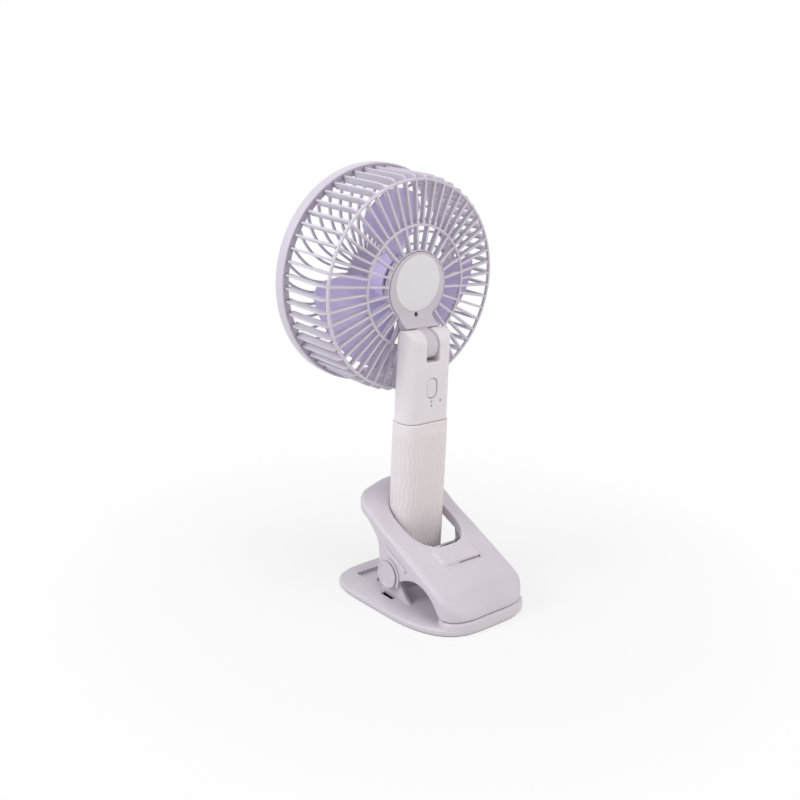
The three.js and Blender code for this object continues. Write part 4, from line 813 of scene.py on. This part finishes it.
def make_base_plate():
    def ring(z, inset):
        return base_ring(z, inset, 120)

    plate = loft("plate", [ring(0.6, 0.85), ring(0.75, 0.45), ring(1.1, 0.12), ring(1.5, 0),
                           ring(3.1, 0), ring(3.6, 0.1), ring(4.05, 0.36), ring(4.4, 0.8),
                           ring(4.6, 1.5)])
    lip = loft("lip", [ring(2.6, 0.02), ring(6.6, 0.3), ring(7.3, 0.65), ring(7.85, 1.2),
                       ring(8.1, 1.75), ring(8.2, 2.5)])
    keep = loft("lip_keep", [
        [(x, y + 78.7, z) for x, y in rounded_oblong(64 - 2 * i, 46 - 2 * i, 7 - i, 8)]
        for z, i in ((2.0, -1.0), (4.8, -0.4), (5.6, 0), (7.2, 0.2), (7.9, 0.7), (8.3, 1.8))])
    carve(lip, keep, way="INTERSECT")
    collar = loft("collar", [at_height(rounded_oblong(40.2 - 2 * i, 24.8 - 2 * i, 10.2 - i, 10), z)
                             for z, i in ((3.6, -0.9), (4.5, -0.5), (5.2, 0), (11.2, 0),
                                          (11.6, 0.4))])
    grip_room = loft("grip_seat", [at_height(rounded_oblong(36.8, 21.4, 8.5, 10), z)
                                   for z in (5.3, 12.6)])
    seat_tool = copy_of(grip_room, "plate_seat")
    carve(collar, grip_room)
    carve(plate, seat_tool)
    carve(lip, block("pad_seat", -21.3, 21.3, 57.3, 66.9, 6.3, 9.2))
    for s in (-1, 1):
        x0, x1 = sorted((s * 29.6, s * 33.6))
        carve(plate, block("slot", x0, x1, 7.95, 18.45, -1, 5.6),
              block("room_under_slot", x0 - 4, x1 + 4, 5.0, 21.4, 0.9, 3.3))
        carve(plate, socket_screw_room(1.5, -1, 6.6, 20, s))
    carve(plate, slab("recess", [(x, y - 19, 2.4) for x, y in rounded_oblong(58, 8, 1.5, 4)],
                      (0, 0, 4)))
    carve(plate, loft("foot_seat", [base_ring(z, 5.7) for z in (-1, 1.3)]))
    post = [(PIVOT_Y + y, PIVOT_Z + z) for y, z in arc(0, 0, 6.6, -15, 195, 28)]
    post += [(4.6, 6.6), (3.1, 3.6), (34, 3.6), (30.6, 5.2), (27, 8)]
    parts = [plate, lip, collar]
    for s in (-1, 1):
        x0 = 27.0 if s > 0 else -29.8
        one = slab("post", [(x0, y, z) for y, z in post], (2.8, 0, 0))
        soften(one, 0.4, 3, 40)
        carve(one, rod("post_hole", 1.75, -40, 40, 32, axis=(1, 0, 0), centre=PIVOT))
        parts.append(one)
    return settle(gather(*parts), "base_plate_moulding", "base", shell_finish, "shell",
                  "base_plate", angle=38)


def make_foot():
    """Thin dark sheet under the plate, let into its seat; its rim shows as a dark line under the
    plate's edge, partly real rubber and partly painted shadow.
    """
    # Painted shadow: the sheet reaches close to the plate's edge so its dark rubber stands in for
    # the shade under the rim.
    foot = loft("foot", [base_ring(0, 1.3), base_ring(0.2, 0.8), base_ring(0.57, 0.65)])
    core = loft("foot_core", [base_ring(0.3, 6.0), base_ring(1.0, 6.0)])
    for layer in (foot, core):
        for s in (-1, 1):
            carve(layer, socket_screw_room(2.2, -1, 2, 24, s))
    gather(foot, core)
    return settle(foot, "rubber_foot_sheet", "base", rubber_finish, "rubber", "rubber_foot")


make_upper_handle()
make_button()
make_grip()
make_base_plate()
make_foot()


# ---------------------------------------------------------------- jaw
JAW_TOP = [(-27, 65.2), (-11, 56.9), (3.2, 48.9), (19.9, 41.6), (35.2, 34.6), (50.1, 27.6),
           (59.2, 23.2), (63.7, 20.6), (66.6, 17.6), (69.4, 14.6), (71.4, 11.6), (72.6, 8.6)]
JAW_UNDER = [(-28, 59.4), (-19, 57.5), (-16, 53), (-8.2, 48.4), (-2.6, 44.2), (0.9, 40.4),
             (3.2, 35.6)]
JAW_ARCH = [(20.4, 13.4), (22.8, 16.6), (26.4, 19.6), (32, 22.2), (38, 23.6), (44, 23.2),
            (49.2, 21.2), (53.6, 18.2), (57, 14.6), (59.8, 11.2), (62.4, 9.2), (66, 8.6)]


def flow(table, x):
    """Smooth curve through a table of pairs."""
    n = len(table)
    if x <= table[0][0]:
        return table[0][1]
    if x >= table[-1][0]:
        return table[-1][1]
    i = max(k for k in range(n - 1) if table[k][0] <= x)
    slope = lambda a, b: (table[b][1] - table[a][1]) / (table[b][0] - table[a][0])
    m0 = slope(max(i - 1, 0), i + 1)
    m1 = slope(i, min(i + 2, n - 1))
    (x0, y0), (x1, y1) = table[i], table[i + 1]
    h = x1 - x0
    t = (x - x0) / h
    return ((2 * t ** 3 - 3 * t * t + 1) * y0 + (t ** 3 - 2 * t * t + t) * h * m0
            + (3 * t * t - 2 * t ** 3) * y1 + (t ** 3 - t * t) * h * m1)


def flowing(points, per=4):
    """The same corners with a smooth curve drawn through them."""
    out = []
    for i in range(len(points) - 1):
        p0 = points[max(i - 1, 0)]
        p1, p2 = points[i], points[i + 1]
        p3 = points[min(i + 2, len(points) - 1)]
        for k in range(per):
            t = k / per
            out.append(tuple(
                0.5 * (2 * b + (c - a) * t + (2 * a - 5 * b + 4 * c - d) * t * t
                       + (3 * b - a - 3 * c + d) * t ** 3)
                for a, b, c, d in zip(p0, p1, p2, p3)))
    return out + [points[-1]]


JAW_HALF_W = 33.2
JAW_REAR_Y, JAW_FRONT_Y = -27, 72.6


def jaw_stations(inset=0.0):
    """Stations along the jaw, as (y, half width), close together round its corners."""
    w = JAW_HALF_W - inset
    y0, y1 = JAW_REAR_Y + inset, JAW_FRONT_Y - inset
    out = [(y0 + u * u / 124, u) for u in (1.5, 4, 7, 10, 13, 16, 19) if u < w - 12]
    bend = y0 + (w - 11) ** 2 / 124
    out += [(bend + 11 * (1 - math.cos(math.radians(a))), w - 11 * (1 - math.sin(math.radians(a))))
            for a in range(8, 91, 9)]
    y = out[-1][0] + 3
    while y < y1 - 17:
        out.append((y, w))
        y += 3.6
    for a in (0, 10, 20, 29, 38, 46, 54, 61, 68, 74, 80, 85):
        f = math.sin(math.radians(a))
        out.append((y1 - 15 + 15 * f, w - 18.75 * (1 - math.sqrt(max(0, 1 - f ** 2.4)))))
    return out


def jaw_section(y, w, inset, floor):
    z = flow(JAW_TOP, y) - inset
    r = min(3.6, w * 0.5, max(1, z - 8.6))
    crown = 2.4 * (w / JAW_HALF_W) ** 2
    side = [(w, floor), (w, z - r)]
    side += [(w - r + r * math.cos(math.radians(a)), z - r + r * math.sin(math.radians(a)))
             for a in range(11, 91, 11)]
    side += [((w - r) * f, z + crown * (1 - f * f)) for f in (0.88, 0.75, 0.6, 0.45, 0.3, 0.15)]
    half = [(x, y, zz) for x, zz in side]
    return half + [(0, y, z + crown)] + [(-x, y, zz) for x, y, zz in half[::-1]]


def make_jaw():
    stations = jaw_stations()
    outer = loft("jaw_outside", [jaw_section(y, w, 0, -5) for y, w in stations])
    inner = loft("jaw_inside", [jaw_section(y, w, 2.2, -6) for y, w in jaw_stations(2.2)])
    lowered = copy_of(outer, "skirt_under")
    lowered.location.z = -7
    lifted = copy_of(outer, "tab_over")
    lifted.rotation_euler.x = math.radians(6.2)
    lifted.location = (0, 3.7, -2.75)
    rest(lowered)
    rest(lifted)
    hole = lambda name, grow: slab(name, at_height(
        squircle(9, 23.2 + grow, 20.4 + grow, 0, 2.6, 144), 5), (0, 0, 85))
    skirt = hole("skirt", 1.6)
    whole = copy_of(outer, "skirt_top")
    carve(skirt, whole, way="INTERSECT")
    carve(skirt, lowered)
    tab = slab("tab", [(x, y + 39.5, 10) for x, y in rounded_oblong(30, 13, 2.5, 5)], (0, 0, 80))
    carve(tab, lifted, way="INTERSECT")
    carve(tab, copy_of(inner, "tab_under"))
    block_over_pad = block("pad_block", -22, 22, 56.6, 71.6, 10.4, 24)
    carve(block_over_pad, copy_of(outer, "pad_top"), way="INTERSECT")
    profile = flowing(JAW_UNDER) + [
        (PIVOT_Y + y, PIVOT_Z + z) for y, z in arc(0, 0, 9.3, 150, 305, 30)]
    profile += flowing(JAW_ARCH) + [(76, 8.6), (76, 80), (-30, 80), (-30, 59.6)]
    carve(outer, slab("side_outline", [(-40, y, z) for y, z in profile], (80, 0, 0)),
          way="INTERSECT")
    carve(outer, inner)
    for extra in (skirt, tab, block_over_pad):
        carve(outer, extra, way="UNION")
    carve(outer, hole("opening", 0))
    ledge_y, ledge_z = bail_end()
    ledge = block("ledge", -5, 5, ledge_y - 2.4, 33.8, ledge_z - 2.6, ledge_z - 1.1)
    riser = block("ledge_riser", -5, 5, 32.3, 33.8, ledge_z - 2.6, flow(JAW_TOP, 32.2) - 1)
    carve(outer, ledge, riser, way="UNION")
    seats = []
    for s in (-1, 1):
        x0, x1 = sorted((s * 30.2, s * 32.0))
        carve(outer, rod("boss", 8.7, x0, x1, 60, axis=(1, 0, 0), centre=PIVOT), way="UNION")
        x0, x1 = sorted((s * 32.0, s * 36))
        seats.append(rod("cap_seat", 7.6, x0, x1, 60, axis=(1, 0, 0), centre=PIVOT))
    seats.append(rod("pin_hole", 1.85, -40, 40, 32, axis=(1, 0, 0), centre=PIVOT))
    carve(outer, *seats)
    finish_with(outer, "REMESH", mode="VOXEL", voxel_size=0.62)
    finish_with(outer, "SMOOTH", factor=0.5, iterations=4)
    carve(outer, block("tab_undercut", -14, 4, 44.9, 46.5, 30.9, 32.7))
    raised = [ear_relief(s) for s in (-1, 1)]
    return settle(gather(outer, *raised), "upper_jaw_moulding", "jaw", shell_finish, "shell",
                  "upper_jaw", angle=60)


def ear_relief(side):
    """Raised straight rib over the ear and the crescent round the pivot's cap."""
    x0 = 32.6 if side > 0 else -34.5
    rib = slab("rib", [(x0, PIVOT_Y + y, PIVOT_Z + z) for y, z in (
        (-2.2, 18), (17.6, 9.2), (16.8, 7.4), (-3.0, 16.2))], (1.9, 0, 0))
    soften(rib, 0.5, 3, 40)
    bow = [(PIVOT_Y + y, PIVOT_Z + z) for y, z in arc(0, 0, 11.6, -28, 88, 30)]
    bow += [(PIVOT_Y + y, PIVOT_Z + z) for y, z in arc(0, 0, 10.4, 88, -28, 30)]
    bow = slab("bow", [(x0 + 0.1, y, z) for y, z in bow], (1.5, 0, 0))
    return gather(rib, soften(bow, 0.3, 2, 40))


def make_cap(side):
    r, base, out = 7.3, 32.3, 34.3
    profile = [(0, base), (r, base), (r, 33.5), (8.3, 33.5), (8.5, 33.7), (8.5, 33.9),
               (8.38, 34.15), (8.1, out), (7.3, out), (6.95, 34.2), (6.75, 33.95),
               (6.6, 33.8), (0, 33.8)]
    cap = spun("cap", profile, 84, axis=(1, 0, 0), centre=PIVOT)
    if side < 0:
        take(cap)
        cap.rotation_euler = (0, 0, math.pi)
        cap.location = (0, 2 * PIVOT_Y, 0)
        rest(cap)
    name = "pivot_cap_right" if side > 0 else "pivot_cap_left"
    return settle(cap, name + "_moulding", "jaw", shell_finish, "shell", name)


# ---------------------------------------------------------------- spring
COIL_R = 6.4
BAIL_ANGLE = math.radians(122.7)  # the wire leaves each coil here
BAIL_REACH = 18.1


def bail_at(x, t):
    """A point on the bail's plane, so far out from the coil."""
    y = PIVOT_Y + COIL_R * math.cos(BAIL_ANGLE) + math.sin(BAIL_ANGLE) * t
    z = PIVOT_Z + COIL_R * math.sin(BAIL_ANGLE) - math.cos(BAIL_ANGLE) * t
    return (x, y, z)


def bail_end():
    return bail_at(0, BAIL_REACH)[1:]


def make_spring():
    """One wire: left leg, left coil, cross bar, right coil, right leg."""
    coil_x = 19.4
    bend_x = 11.6
    half = [bail_at(0, BAIL_REACH), bail_at(bend_x * 0.5, BAIL_REACH)]
    half += [bail_at(bend_x + 3 * math.cos(math.radians(a)),
                     BAIL_REACH - 3 + 3 * math.sin(math.radians(a)))
             for a in range(90, -1, -10)]
    half += [bail_at(15.9, 11), bail_at(18.4, 3.5), bail_at(19.2, 1.2)]
    end = math.radians(143) + 6 * math.pi
    sweep = end - BAIL_ANGLE
    steps = 90
    for i in range(steps + 1):
        a = BAIL_ANGLE + sweep * i / steps
        half.append((coil_x + 2.1 * sweep * i / (2 * math.pi * steps),
                     PIVOT_Y + COIL_R * math.cos(a), PIVOT_Z + COIL_R * math.sin(a)))
    last = Vector(half[-1])
    leg = Vector((0, -math.sin(end), math.cos(end)))
    half += [tuple(last + leg * 21.6 * t) for t in (0.25, 0.5, 0.75, 1)]
    path = [(-x, y, z) for x, y, z in half[:0:-1]] + half
    curve = bpy.data.curves.new("spring_wire", "CURVE")
    curve.dimensions = "3D"
    curve.bevel_depth = 0.8
    curve.bevel_resolution = 3
    curve.use_fill_caps = True
    line = curve.splines.new("POLY")
    line.points.add(len(path) - 1)
    for p, c in zip(line.points, path):
        p.co = (*c, 1)
    wire = bpy.data.objects.new("spring_wire", curve)
    bpy.context.scene.collection.objects.link(wire)
    take(wire)
    bpy.ops.object.convert(target="MESH")
    wire = bpy.context.active_object
    return settle(wire, "torsion_spring_wire", "base", steel_finish, "steel", "torsion_spring",
                  angle=60)


make_jaw()
make_cap(-1)
make_cap(1)
make_spring()


# ---------------------------------------------------------------- floor and light
def make_floor():
    """Pale paper that keeps the fan's shadow and runs out to white round it."""
    put_down()
    bpy.ops.mesh.primitive_plane_add(size=8, location=(0, 0, 0))
    floor = bpy.context.active_object
    floor.name = "floor"
    m = bpy.data.materials.new("floor_paper")
    m.use_nodes = True
    t = m.node_tree
    paper = t.nodes["Principled BSDF"]
    paper.inputs["Roughness"].default_value = 0.9
    paper.inputs["Specular IOR Level"].default_value = 0.1
    place = t.nodes.new("ShaderNodeTexCoord")
    fibre = noise(t, place.outputs["Object"], Scale=900)
    wire_up(t, ramp(t, fibre.outputs["Fac"], (0.3, (0.86, 0.86, 0.86)), (0.7, (0.9, 0.9, 0.9))),
            paper.inputs["Base Color"])
    away = t.nodes.new("ShaderNodeVectorMath")
    away.operation = "LENGTH"
    wire_up(t, place.outputs["Object"], away.inputs[0])
    out = between(t, away.outputs["Value"], 0.05, 0.34)
    out.interpolation_type = "SMOOTHSTEP"
    out.inputs["To Min"].default_value = 0.72
    white = t.nodes.new("ShaderNodeEmission")
    seen = see_white(t)
    mix = t.nodes.new("ShaderNodeMixShader")
    wire_up(t, sums(t, "MULTIPLY", out.outputs["Result"], seen), mix.inputs[0])
    wire_up(t, paper.outputs[0], mix.inputs[1])
    wire_up(t, white.outputs[0], mix.inputs[2])
    wire_up(t, mix.outputs[0], t.nodes["Material Output"].inputs["Surface"])
    floor.data.materials.append(m)


def see_white(t):
    """1 for rays that should meet the white room: the camera's, and those of gloss and glass."""
    path = t.nodes.new("ShaderNodeLightPath")
    first = sums(t, "MAXIMUM", path.outputs["Is Camera Ray"], path.outputs["Is Glossy Ray"])
    return sums(t, "MAXIMUM", first, path.outputs["Is Transmission Ray"])


def area_light(name, place, at, size, power, colour=(1, 1, 1)):
    data = bpy.data.lights.new(name, "AREA")
    data.shape = "DISK"
    data.size = size
    data.energy = power
    data.color = colour
    lamp = bpy.data.objects.new(name, data)
    bpy.context.scene.collection.objects.link(lamp)
    lamp.location = place
    lamp.rotation_euler = (Vector(at) - Vector(place)).to_track_quat("-Z", "Y").to_euler()
    return lamp


make_floor()
area_light("left_softbox", (1.15, -0.35, 0.85), (0, 0, 0.16), 0.7, 8.1, (0.98, 0.98, 1.0))
area_light("right_softbox", (-0.45, 1.25, 0.6), (0, 0, 0.15), 0.9, 5.0, (1.0, 0.935, 0.915))
area_light("top_softbox", (0.1, 0.1, 1.4), (0, 0, 0.13), 0.8, 4.8)
world = bpy.data.worlds.new("pale_room")
bpy.context.scene.world = world
world.use_nodes = True
room = world.node_tree
sky = room.nodes["Background"]
sky.inputs["Color"].default_value = (1, 1, 1, 1)
wire_up(room, span(room, see_white(room), 0.40, 1.0), sky.inputs["Strength"])
bpy.context.scene.view_settings.view_transform = "Standard"
